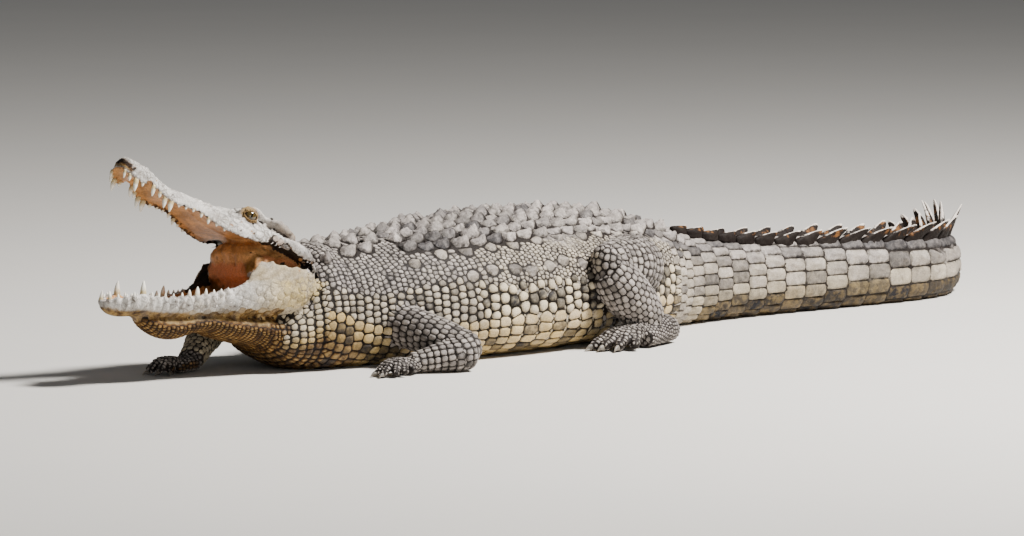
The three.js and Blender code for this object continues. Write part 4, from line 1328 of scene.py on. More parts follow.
def grow_scales(table, around, ground, directions, fractions):
    """Rounded plates that share their borders, set on the skin: points, faces, marks and groups."""
    centre, normal = table["place"], table["normal"]
    n = len(centre)
    e1 = unit(table["along"] - (table["along"] * normal).sum(1)[:, None] * normal)
    e2 = np.cross(normal, e1)
    radius, x, y, reach = plate_outline(table, around, (e1, e2), directions)
    half_x, half_y = np.abs(x).max(1)[:, None], np.abs(y).max(1)[:, None]

    def spread(f):
        return centre[:, None] + (e1[:, None] * (f * x)[..., None] + e2[:, None] * (f * y)[..., None]) * MM

    drop = ground.height(spread(1.0).reshape(-1, 3), np.repeat(normal, directions, 0), 0.02)
    drop = drop.reshape(n, directions) / MM
    drop = np.where(np.isnan(drop), -0.25 * radius, drop)
    drop = np.clip(drop, -0.9 * radius - 3, 0.6 * radius)
    tint = np.random.default_rng(1).random(n)
    # some keels have a painted shadow behind them: the rear half of the scale is marked as dark as a gap
    pocket = ((table["height"] > 6) & (table["keel"] > 5) & (tint > 0.4))[:, None]
    tall, slab, keel, keel_width, tilt = (
        table[key][:, None] for key in ("height", "slab", "keel", "keel_width", "tilt")
    )
    rings, marks = [], []
    for level, f in enumerate(fractions):
        fx, fy = f * x / half_x, f * y / half_y
        height = np.full((n, directions), -3.0)
        if level:
            ridge = bump(fy, keel_width) * ramp((fx + 1.05) / 1.25) * (1 - ramp((fx - 0.55) / 0.5))
            height = tall * np.sqrt(np.clip(1 - f**slab, 0, 1)) * (1 + tilt * fx) + keel * ridge * (1 - f**6)
        rings.append(spread(f) + normal[:, None] * ((drop * f * f + height)[..., None] * MM))
        # flat plates have narrower dark rims than domed ones; the dark rims are painted shade where a scale
        # slopes down to the skin
        marks.append(np.minimum(f ** (slab / 2.4) + 0.7 * pocket * ramp((fx - 0.05) / 0.5), 1.02))
    top = tall + keel * ramp(1.05 / 1.25)
    rings.append((centre + normal * top * MM)[:, None])
    marks.append(np.zeros((n, 1)))
    points, rim = np.concatenate(rings, 1), np.concatenate(marks, 1)
    per = points.shape[1]
    points = points.reshape(-1, 3)
    lumpy = np.repeat(table["lumps"], per) * (1 - rim.reshape(-1) ** 8)
    rough = np.where(lumpy > 0.75)[0]
    if len(rough):
        lift = roughness_at(points[rough], 11, 4.0, 2) * lumpy[rough]
        points[rough] += np.repeat(normal, per, 0)[rough] * lift[:, None] * MM
    points[:, 2] = np.maximum(points[:, 2], 0.0)
    i = np.arange(directions)
    j = (i + 1) % directions
    last = (len(fractions) - 1) * directions
    quads = [
        np.stack([a + i, a + j, a + directions + j, a + directions + i], 1)
        for a in range(0, last, directions)
    ]
    same = (np.repeat(values[:, None], per, 1) for values in (tint, table["belly"], table["dark"]))
    return {
        **table, "points": points.reshape(n, per, 3), "marks": np.stack([rim, *same], -1), "reach": reach,
        "quads": np.concatenate(quads), "under": i[::-1],
        "fan": np.stack([last + i, last + j, np.full(directions, per - 1)], 1),
        "group": table["group"].astype(int), "sunk": ramp((table["height"] - 0.4) / 1.5),
    }


# The half width of a scale's patch on its bake map.
BAKE_PATCH = 0.0015


def bake_map(points, centre, normal, chart):
    """Each point's place on the bake map: a small patch for each scale, at its root's place on the unwrap."""
    offset = points - centre[:, None]
    size = np.abs(offset).max((1, 2))[:, None, None]
    side = unit(np.cross(normal, [0.3, 0.2, 1.0]))
    axes = (side, np.cross(normal, side))
    local = np.stack([(offset * axis[:, None]).sum(2) for axis in axes], 2) / size
    chart = (chart - chart.min(0)) / np.maximum(np.ptp(chart, axis=0), 1) * 0.98 + 0.01
    return (chart[:, None] + BAKE_PATCH * local).reshape(-1, 2)


def scale_object(name, grown, chosen):
    """One mesh of the chosen scales, with marks for the materials and a bake patch for each scale."""
    points = grown["points"][chosen]
    centre, normal = grown["place"][chosen], grown["normal"][chosen]
    n, per = points.shape[:2]
    start = np.arange(n)[:, None] * per
    faces = [
        (grown[key][None] + start[..., None]).reshape(-1, grown[key].shape[1]) for key in ("quads", "fan")
    ] + [grown["under"][None] + start]
    sizes = np.concatenate([np.full(len(part), part.shape[1]) for part in faces])
    corners = np.concatenate([part.ravel() for part in faces])
    mesh = bpy.data.meshes.new(name)
    mesh.vertices.add(n * per)
    mesh.vertices.foreach_set("co", points.astype(np.float32).ravel())
    mesh.loops.add(len(corners))
    mesh.loops.foreach_set("vertex_index", corners.astype(np.int32))
    mesh.polygons.add(len(sizes))
    starts = np.concatenate([[0], np.cumsum(sizes)[:-1]])
    mesh.polygons.foreach_set("loop_start", starts.astype(np.int32))
    mesh.update(calc_edges=True)
    mesh.validate()
    mesh.polygons.foreach_set("use_smooth", [True] * len(mesh.polygons))
    paint(mesh, "marks", grown["marks"][chosen].reshape(-1, 4))
    paint(mesh, "zone", np.repeat(zones(centre, normal)[0], per, 0))
    layer = mesh.uv_layers.new(name="OFBake")
    uv = bake_map(points, centre, normal, grown["chart"][chosen])
    layer.data.foreach_set("uv", uv[corners].astype(np.float32).ravel())
    thing = bpy.data.objects.new(name, mesh)
    bpy.context.scene.collection.objects.link(thing)
    return thing


# ---------- eyes, teeth, tongue, crest and claws
EYE_RADIUS = 18.5
GAZE = (0.32, 0.92, 0.04)


def eye_frame(side):
    """An eye's centre, and its right, up and outward axes in the animal's frame."""
    ex, ey, ez = EYE_AT
    centre = out_of(UPPER, (ex, side * (ey - 1), ez - 4))
    out = unit(np.array([GAZE[0], side * GAZE[1], GAZE[2]]) @ UPPER[0])
    across = unit(np.cross(UPPER[0][2], out))
    return centre, np.array([across, np.cross(out, across), out])


def lid_shell(side):
    """Both lids of one eye as a shell round the eyeball, open in an almond shape."""
    centre, axes = eye_frame(side)
    turn = circle(56)
    c, s = np.cos(turn), np.sin(turn)
    tall = np.where(s > 0, 27, 35)
    opening = (np.abs(c / 60) ** 1.55 + np.abs(s / tall) ** 1.55) ** (-1 / 1.55)
    # degrees beyond the opening, height over the eyeball, and whether the row is in the folds
    rows = [(30, 0.2, 0), (12, 0.25, 0), (2, 0.4, 0), (-1, 0.9, 0), (0.5, 1.5, 0), (4, 1.9, 0)]
    rows += [(degrees, 2.1, 1) for degrees in range(8, 76, 4)] + [(78, -0.5, 0), (78, -1.5, 0)]
    rings = []
    for beyond, thick, folded in rows:
        angle = np.radians(np.minimum(opening + beyond, 128))
        waves = np.sin(np.radians(beyond * 24) + 0.9 * np.sin(3 * turn))
        fold = (0.8 * waves + 0.5 * np.sin(13 * turn)) * folded
        brow = 1.6 * folded * ramp((s - 0.2) / 0.6)
        aim = np.stack([np.sin(angle) * c, np.sin(angle) * s, np.cos(angle)], 1) @ axes
        rings.append((EYE_RADIUS + thick + fold + brow)[:, None] * aim)
    points = (np.array(rings) * MM + centre).reshape(-1, 3)
    around, total = len(turn), len(points)
    faces = []
    for a in range(0, total, around):
        b = (a + around) % total
        for i in range(around):
            j = (i + 1) % around
            faces.append([a + i, a + j, b + j, b + i])
    return facing_out(points, faces)


def eyeball(side):
    """A wet ball whose iris and slit pupil come from marks in the eye's own frame."""
    centre, axes = eye_frame(side)
    bpy.ops.object.select_all(action="DESELECT")
    bpy.ops.mesh.primitive_uv_sphere_add(segments=64, ring_count=40, radius=EYE_RADIUS * MM)
    ball = only(bpy.context.object)
    local = vertices_of(ball.data) / (EYE_RADIUS * MM)
    # the clear bulge over the iris
    bulge = 0.5 * ramp((local[:, 2] - 0.72) / 0.2)
    put_vertices(ball.data, centre + local * (EYE_RADIUS + bulge[:, None]) * MM @ axes)
    paint(ball.data, "gaze", np.concatenate([local, np.ones((len(local), 1))], 1))
    bpy.ops.object.shade_smooth()
    ball.name = "left_eyeball" if side > 0 else "right_eyeball"
    return ball


def joined(name, made):
    """One object from points, faces and marks of many small parts. A single mark is the place along the part."""
    thing = mesh_object(name, *merge([(points, faces) for points, faces, _ in made]))
    marks = np.concatenate([m for _, _, m in made])
    if marks.ndim == 1:
        marks = np.stack([marks, np.zeros_like(marks), np.zeros_like(marks), np.ones_like(marks)], 1)
    paint(thing.data, "marks", marks)
    return thing, marks


def roughen(thing, size, seed, depth):
    """Moves an object's surface in and out by smooth random heights."""
    points, normals = vertices_of(thing.data), normals_of(thing.data)
    put_vertices(thing.data, points + normals * (roughness_at(points, size, seed) * depth)[:, None] * MM)


def tooth(jaw, x, side, root_y, root_z, length, radius, lean, up):
    """One curved tooth rooted in its socket, pointing up or down."""
    t = np.array([0, 0.12, 0.25, 0.4, 0.55, 0.7, 0.82, 0.91, 0.97, 1.0])
    along = -7 + (length + 7) * t
    girth = radius * np.array([0.95, 1.0, 1.0, 0.93, 0.82, 0.66, 0.48, 0.32, 0.18, 0.04])
    out = np.sin(math.radians(lean)) * along - 0.09 * length * t**3
    back = -0.16 * length * t**2
    a = circle(12)
    rings = np.stack([
        x + back[:, None] + girth[:, None] * np.cos(a),
        side * (root_y + out[:, None] + 0.88 * girth[:, None] * np.sin(a)),
        root_z + up * np.repeat(along[:, None], len(a), 1),
    ], -1)
    points, faces = tube(rings)
    return out_of(jaw, points), facing_out(points, faces)[1], np.concatenate([np.repeat(t, len(a)), [0, 1]])


def build_teeth(rng):
    """Both rows of both jaws, each tooth rooted just inside the jaw's edge and worn a little."""
    made = []
    for side in (1, -1):
        for jaw, shape, teeth, inset, up in (
            (UPPER, skull_shape, UPPER_TEETH, 1, -1), (LOWER, jaw_shape, LOWER_TEETH, 2, 1)
        ):
            for x, length, radius, lean in teeth:
                half, edge = shape(x)[:2]
                length = length * (1 + 0.06 * rng.normal())
                across = max(half - radius - inset, 7)
                made.append(tooth(jaw, x, side, across, edge + 2, length, radius, lean, up))
    return joined("teeth", made)[0]


def build_tongue():
    """A rough tongue with a groove along its middle."""
    tongue = mesh_object("tongue_flesh", *lobe(TONGUE, 0.3, 0.8, around=48))
    apply_modifier(tongue, "SUBSURF", levels=2, render_levels=2)
    points, normals = vertices_of(tongue.data), normals_of(tongue.data)
    ripple = roughness_at(points, 14, 2.0, 3) * 1.6 - 2.2 * bump(into(LOWER, points)[:, 1], 3.0)
    put_vertices(tongue.data, points + normals * (ripple - 0.8)[:, None] * MM)
    return tongue


def crest_blade(start, side, rng):
    """One blade of the crest: a thin plate as long as its whorl, with a rounded tip that leans back."""
    height, out, length, outward, backward = crest_shape(start)
    height = height * (1 + 0.07 * rng.normal())
    tall = ramp((height - 14) / 50)
    t = np.array([0, 0.14, 0.28, 0.42, 0.56, 0.7, 0.82, 0.91, 0.97, 1.0])
    sink = 11 + side**2 * out * 0.12
    up = -sink + (height + sink) * t
    rise = np.clip(up / height, 0, 1)
    lean = backward * height * rise**1.25
    front = length * (0.74 - 0.2 * tall) * rise ** (1.15 - 0.25 * tall) + lean
    rear = length * (0.97 - 0.05 * tall * rise) + lean
    middle, half = (front + rear) / 2, (rear - front) / 2
    half = half * np.sqrt(np.clip((1.02 - t) / 0.16, 0.02, 1))
    thick = (11 - 5 * tall) * (1 - rise) ** 1.1 + (2.8 + 2.4 * tall) * (1 - 0.7 * rise**4)
    a = circle(24)
    wobble = 1 + 0.06 * rng.normal(size=len(a))
    station = start + middle[:, None] + half[:, None] * power(np.cos(a), 0.85)
    # a shallow groove up each face
    groove = 1 - 0.3 * bump(np.cos(a) + 0.25, 0.25) * tall
    across = thick[:, None] * np.sin(a) * wobble * groove
    lean_out = side * (outward * height * rise**1.2)[:, None]
    turn = heading(station)
    x, y = spine(station)
    place = side * out + across + lean_out + 1.8 * rng.normal() * rise[:, None]
    z = body_shape(station)[..., 2] + up[:, None] - 5
    points, faces = tube(np.stack([x - np.sin(turn) * place, y + np.cos(turn) * place, z], -1) * MM)
    # the blade's front edge, where the material paints a highlight
    edge = np.tile(ramp((-np.cos(a) - 0.55) / 0.35), len(t))
    marks = np.stack([np.repeat(rise, len(a)), np.full(len(edge), rng.random()), edge, np.ones(len(edge))], 1)
    return points, facing_out(points, faces)[1], np.concatenate([marks, marks[[0, -1]]])


def build_crest(rng):
    """Two rows of blades along the tail's top, which merge into one."""
    crest, marks = joined("crest_blades", [
        crest_blade(start, side, rng)
        for start in WHORLS[:-1] for side in ((-1, 1) if start < CREST_MERGE else (0,))
    ])
    roughen(crest, 9, 6.0, 1.1 * (1 - 0.6 * ramp((marks[:, 0] - 0.8) / 0.2)))
    return crest


def build_claws():
    """Curved claws on the inner toes, each a horn sheath that comes out of the toe's end."""
    made = []
    t = np.linspace(-0.3, 1, 12)
    shown = np.clip(t, 0, 1)
    taper = np.array([0.9, 1, 1, 0.97, 0.92, 0.84, 0.74, 0.62, 0.49, 0.35, 0.2, 0.05])
    for name, leg in LIMBS.items():
        kind, side = limb_kind(name)
        radius = FEET[kind]["toe_half"] * 0.46 * taper
        for _, _, tip, step in toe_paths(leg, kind, side)[:3]:
            centre = tip + step * (FEET[kind]["claw"] * t)[:, None]
            height = tip[2] + 1.6 * np.sin(np.pi * shown) + (2.4 - tip[2]) * shown**1.4
            centre[:, 2] = np.maximum(height, radius + 0.3)
            points, faces = facing_out(*tube(path_rings(centre, 0.78 * radius, radius, 12)[0] * MM))
            made.append((points, faces, np.concatenate([np.repeat(shown, 12), [0, 1]])))
    return joined("claws", made)[0]


# ---------- the skin's marks
def hollows(mesh):
    """How hollow the skin is at each vertex: positive in creases, negative on ridges."""
    points, normals = vertices_of(mesh), normals_of(mesh)
    edges = np.empty(len(mesh.edges) * 2, np.int32)
    mesh.edges.foreach_get("vertices", edges)
    a, b = edges.reshape(-1, 2).T
    count = np.bincount(np.concatenate([a, b]), minlength=len(points))[:, None]

    def spread(values):
        total = np.zeros_like(values)
        np.add.at(total, a, values[b])
        np.add.at(total, b, values[a])
        return total / np.maximum(count, 1)

    lifted = ((spread(points) - points) * normals).sum(1) / MM
    for _ in range(2):
        lifted = 0.5 * lifted + 0.5 * spread(lifted[:, None])[:, 0]
    return lifted


def distance_to_eye(u):
    """From points in the upper jaw's frame to the nearer eye, in mm."""
    return np.linalg.norm(u * [1, 0, 1] + np.abs(u) * [0, 1, 0] - EYE_AT, axis=1)


def upper_zones(u, nu, ragged):
    """The upper head's lining, the painted shade over the snout's front, crust and brown hide, and its dark
    gums, with painted shade in the cleft by the jaw's muscle, over the nostrils and in the ears.
    """
    x, y, z = u[:, 0], np.abs(u[:, 1]), u[:, 2]
    half, lip = skull_shape(x)[:, 0], skull_shape(x)[:, 1]
    palate = (nu[:, 2] < np.where(x > 490, -0.3, 0.1)) & (y < half * 0.955) & (z > lip - 25) & (z < lip + 48)
    palate &= x > 10
    gum = palate * ramp((y - half + 19 + 14 * ragged) / 6) * ramp((470 - x) / 40)
    # painted shade in the cleft behind the upper jaw, by the muscle at the mouth's corner
    recess_shade = palate * ramp((186 - x + 8 * ragged) / 16) * ramp((y - 60) / 14)
    # painted shade in the ear slits
    slit = bump(z - 84 - (x - 110) * 0.03, 4) * ramp((x - 75) / 15) * (1 - ramp((x - 165) / 15))
    ear = ramp((y - 48) / 6) * slit
    # painted shade over the snout's forward-facing front: brown low down, near black higher up
    snout_front_shade = ramp((x - 528) / 14) * ramp((z - lip - 6) / 6) * ramp((lip + 40 - z) / 8)
    snout_front_shade *= ramp((nu[:, 0] - 0.25) / 0.3)
    nostril = snout_front_shade * ramp((z - lip - 14) / 6) * 0.95
    lining = palate * ramp((half * 0.965 - y) / 5) * ramp((x - 10) / 30)
    eye = distance_to_eye(u)
    crust = ramp((x - 40 + 60 * (y > 84)) / 190) * (z > lip - 6) * (1 - lining) * ramp((eye - 22) / 14)
    roof = 0.5 * ramp((190 - x) / 20) * ramp((z - 66) / 10) * ramp((90 - y) / 10) * ramp((x - 20) / 20)
    brown = np.maximum.reduce([snout_front_shade, ramp((33 - eye) / 8), roof])
    return lining, snout_front_shade, crust, brown, np.maximum.reduce([gum * 0.95, recess_shade, nostril, ear])


def zones(points, normals):
    """Shares of mouth lining, throat (brown outside the mouth), crust and yellow skin, and the dark gums with
    painted shade in the mouth's corners and other hollows.
    """
    u, v = into(UPPER, points), into(LOWER, points)
    ragged = roughness_at(points, 10, 4.0, 2)
    lining, snout_front_shade, crust, brown, gums_and_painted_shade = upper_zones(u, normals @ UPPER[0].T, ragged)
    nv = normals @ LOWER[0].T
    x, y, z = v[:, 0], np.abs(v[:, 1]), v[:, 2]
    half, rim, depth, wall = jaw_shape(x).T[:4]
    crust = crust * (u[:, 0] > -40) * (z > -200)
    trough = half - wall * 0.75
    inside = (y < trough) & (z < rim + 4) & (z > rim - depth * 0.8) & (nv[:, 2] > -0.2) & (x > 0) & (x < 520)
    lining = np.maximum(lining, inside * ramp((trough - y) / 4) * ramp((x - 16) / 14))
    wide, low, high = profile(THROAT)(x).T
    deep = (x > 10) & (x < THROAT[-1][0] + 4) & (y < wide + 3) & (z > low - 4) & (z < high + 4)
    gullet = deep * (z > rim - depth * 0.6) * (y < half - wall * 0.6)
    throat = gullet * ramp((high - 28 - z) / 14) * ramp((half - wall * 1.1 - y) / 6)
    jaw = (x > -50) & (z < rim + 9) & (z > rim - depth - 4) & (y < half + 6) & (u[:, 2] < 10) & (lining < 0.5)
    jaw &= (y > half - wall * 1.2) | (z < rim - depth * 0.5) | (x < 10)
    side = ramp((z - rim + depth * 0.72 + 3 * ragged) / 10)
    muscle = (x > -60) & (x < 215) & (z > -20) & (z < 66) & (y > 92) & (u[:, 2] < 15)
    yellow = jaw * side * (1 - 0.75 * ramp((x - 90) / 130)) + 0.5 * muscle
    throat = throat * (1 - jaw)
    crust = np.maximum(crust, jaw * ramp((x - 60) / 150) * side) * (1 - throat) * (1 - snout_front_shade)
    # painted shade on the inward faces at the mouth's corners
    corner = (y > half - wall - 8) & (x > -20) & (x < 240) & (z > rim - 4) & (z < 75)
    corner &= nv[:, 1] * v[:, 1] < 0
    lining = np.maximum(lining, gullet * (1 - jaw))
    under = (x > -30) & (x < 562) & (z < rim - depth * 0.5) & (z > -230) & (y < half + 25)
    under &= (points[:, 0] < -0.9) & ((points[:, 2] > 0.125) | (points[:, 1] < 0.1))
    brown = np.maximum(under * (1 - side), brown) * (1 - lining)
    tints = [lining, np.maximum(throat, brown), crust, yellow * (1 - throat)]
    return np.clip(np.stack(tints, 1), 0, 1), np.maximum(gums_and_painted_shade, corner)


def mark_skin(skin, fields):
    """Gives the skin the marks of the scales that stand on it, and painted shade in its creases, hollows and
    round the eyes.
    """
    mesh = skin.data
    points, normals = vertices_of(mesh), normals_of(mesh)
    keys = ("place", "reach", "belly", "dark", "sunk")
    place, reach, belly, dark, sunk = (np.concatenate([grown[key] for grown in fields]) for key in keys)
    tree = tree_of(place)
    _, index, far = zip(*(tree.find(point) for point in points.tolist()))
    index, far = np.array(index), np.array(far) / MM
    covered = 1 - ramp((far - reach[index] * 1.3) / 10)
    # painted shade in the skin's creases, stronger below the upper jaw's plane
    crease = np.clip(hollows(mesh) / 0.55, 0, 1) * (0.6 + 0.4 * (into(UPPER, points)[:, 2] < 0))
    tints, gums_and_painted_shade = zones(points, normals)
    # skin between the scales is darker, more so between tall ones: darker skin with painted shade in the deep
    # gaps
    rim = np.maximum(covered * sunk[index] * 1.05 + crease * 0.9, gums_and_painted_shade * 1.05)
    # painted shade where the lids meet the eyeball
    for side in (1, -1):
        eye = np.linalg.norm(points - eye_frame(side)[0], axis=1) / MM
        rim = np.maximum(rim, 1.05 * (1 - ramp((eye - EYE_RADIUS - 0.8) / 1.6)))
    under = belly[index] * covered
    marks = [np.clip(rim, 0, 1.05), np.full(len(points), 0.5), under, dark[index] * covered * 0.5]
    paint(mesh, "marks", np.stack(marks, 1))
    paint(mesh, "zone", tints)


# ---------- the studio
CAMERA_AZIMUTH = math.radians(-48.0)
CAMERA_ELEVATION = math.radians(6.5)


def aim_at(thing, place):
    """Turns a camera or lamp towards a place."""
    thing.rotation_euler = (Vector(place) - thing.location).to_track_quat("-Z", "Y").to_euler()


def build_camera(sizes):
    """The camera, aimed from the studio's azimuth and elevation."""
    data = bpy.data.cameras.new("camera")
    data.sensor_width = 36.0
    data.lens = sizes.lens
    data.clip_end = 100.0
    camera = bpy.data.objects.new("camera", data)
    bpy.context.scene.collection.objects.link(camera)
    turn, raised = CAMERA_AZIMUTH, CAMERA_ELEVATION
    back = (math.sin(turn) * math.cos(raised), -math.cos(turn) * math.cos(raised), math.sin(raised))
    camera.location = Vector(back) * sizes.camera_distance
    aim_at(camera, sizes.camera_aim)
    bpy.context.scene.camera = camera


def area_light(name, place, width, strength, colour):
    """A soft round light aimed at the animal."""
    data = bpy.data.lights.new(name, "AREA")
    data.shape = "DISK"
    data.size = width
    data.energy = strength
    data.color = colour
    lamp = bpy.data.objects.new(name, data)
    bpy.context.scene.collection.objects.link(lamp)
    lamp.location = place
    aim_at(lamp, (0.1, 0.0, 0.2))


# ---------- materials
class Nodes:
    """Adds nodes to a tree, with their settings and what feeds them."""

    def __init__(self, tree):
        self.tree = tree
        tree.nodes.clear()

    def add(self, kind, feeds=None, **settings):
        node = self.tree.nodes.new(kind if kind.startswith("NodeGroup") else "ShaderNode" + kind)
        for key, value in settings.items():
            setattr(node, key, value)
        for key, value in (feeds or {}).items():
            socket = node.inputs[key]
            if isinstance(value, bpy.types.NodeSocket):
                self.tree.links.new(value, socket)
            elif hasattr(socket.default_value, "__len__") and len(socket.default_value) == 4:
                socket.default_value = (*value, 1.0)[:4]
            else:
                socket.default_value = value
        return node

    def math(self, operation, *values):
        return self.add("Math", dict(enumerate(values)), operation=operation).outputs[0]

    def times(self, a, b):
        return self.math("MULTIPLY", a, b)

    def scaled(self, value, factor, plus):
        return self.math("MULTIPLY_ADD", value, factor, plus)

    def most(self, a, b):
        return self.math("MAXIMUM", a, b)

    def rest(self, value):
        return self.math("SUBTRACT", 1.0, value)

    def split(self, colour):
        return self.add("SeparateColor", {0: colour}).outputs

    def mix(self, share, a, b, blend="MIX"):
        node = self.add("Mix", {0: share, 6: a, 7: b}, data_type="RGBA", blend_type=blend, clamp_factor=True)
        return node.outputs[2]

    def shaded(self, colour, shade):
        grey = self.add("CombineColor", {0: shade, 1: shade, 2: shade}).outputs[0]
        return self.mix(1.0, colour, grey, "MULTIPLY")

    def step(self, value, low, high, start=0.0, stop=1.0):
        feeds = {"Value": value, "From Min": low, "From Max": high, "To Min": start, "To Max": stop}
        return self.add("MapRange", feeds, interpolation_type="SMOOTHSTEP").outputs[0]

    def noise(self, place, scale, detail=3.0, rough=0.55, warp=0.0):
        feeds = {"Vector": place, "Scale": scale, "Detail": detail, "Roughness": rough, "Distortion": warp}
        return self.add("TexNoise", feeds).outputs["Fac"]

    def cells(self, place, scale, feature="F1"):
        return self.add("TexVoronoi", {"Vector": place, "Scale": scale}, feature=feature).outputs["Distance"]

    def marks(self, name="marks"):
        return self.add("Attribute", attribute_name=name).outputs

    def grain(self, place, colour, dust, share, hollow=0.0):
        """The colour under dust and grain, from the shared group."""
        feeds = {"Place": place, "Color": colour, "Dust": dust, "Dust Share": share, "Hollow": hollow}
        return self.add("Group", feeds, node_tree=bpy.data.node_groups["dry_grain"]).outputs


def node_group(name, inputs, outputs):
    """A new shader group: its nodes' maker and its inputs by name."""
    tree = bpy.data.node_groups.new(name, "ShaderNodeTree")
    for direction, sockets in (("INPUT", inputs), ("OUTPUT", outputs)):
        for label, kind in sockets:
            tree.interface.new_socket(label, in_out=direction, socket_type="NodeSocket" + kind)
    nodes = Nodes(tree)
    return nodes, nodes.add("NodeGroupInput").outputs


def grain_group():
    """Dust, blotches and fine grain that all dry surfaces share."""
    n, given = node_group(
        "dry_grain",
        [
            ("Place", "Vector"), ("Color", "Color"), ("Dust", "Color"), ("Dust Share", "Float"),
            ("Hollow", "Float"),
        ],
        [("Color", "Color"), ("Dusty", "Float"), ("Height", "Float")],
    )
    place = given["Place"]
    broad = n.step(n.noise(place, 9.0, 4.0, 0.6), 0.38, 0.66)
    patch = n.step(n.noise(place, 42.0, 5.0, 0.62, 0.4), 0.36, 0.68)
    speck = n.noise(place, 330.0, 3.0, 0.6)
    fine = n.noise(place, 1100.0, 2.0, 0.5)
    dusty = n.times(n.scaled(patch, 0.75, n.times(broad, 0.35)), given["Dust Share"])
    dusty = n.times(dusty, n.rest(given["Hollow"]))
    colour = n.mix(dusty, given["Color"], given["Dust"])
    shade = n.math("ADD", n.step(speck, 0.25, 0.75, 0.74, 1.2), n.step(fine, 0.3, 0.7, -0.1, 0.1))
    colour = n.shaded(colour, shade)
    height = n.scaled(speck, 0.6, n.times(fine, 0.35))
    n.add("NodeGroupOutput", {"Color": colour, "Dusty": dusty, "Height": n.scaled(patch, 0.3, height)})


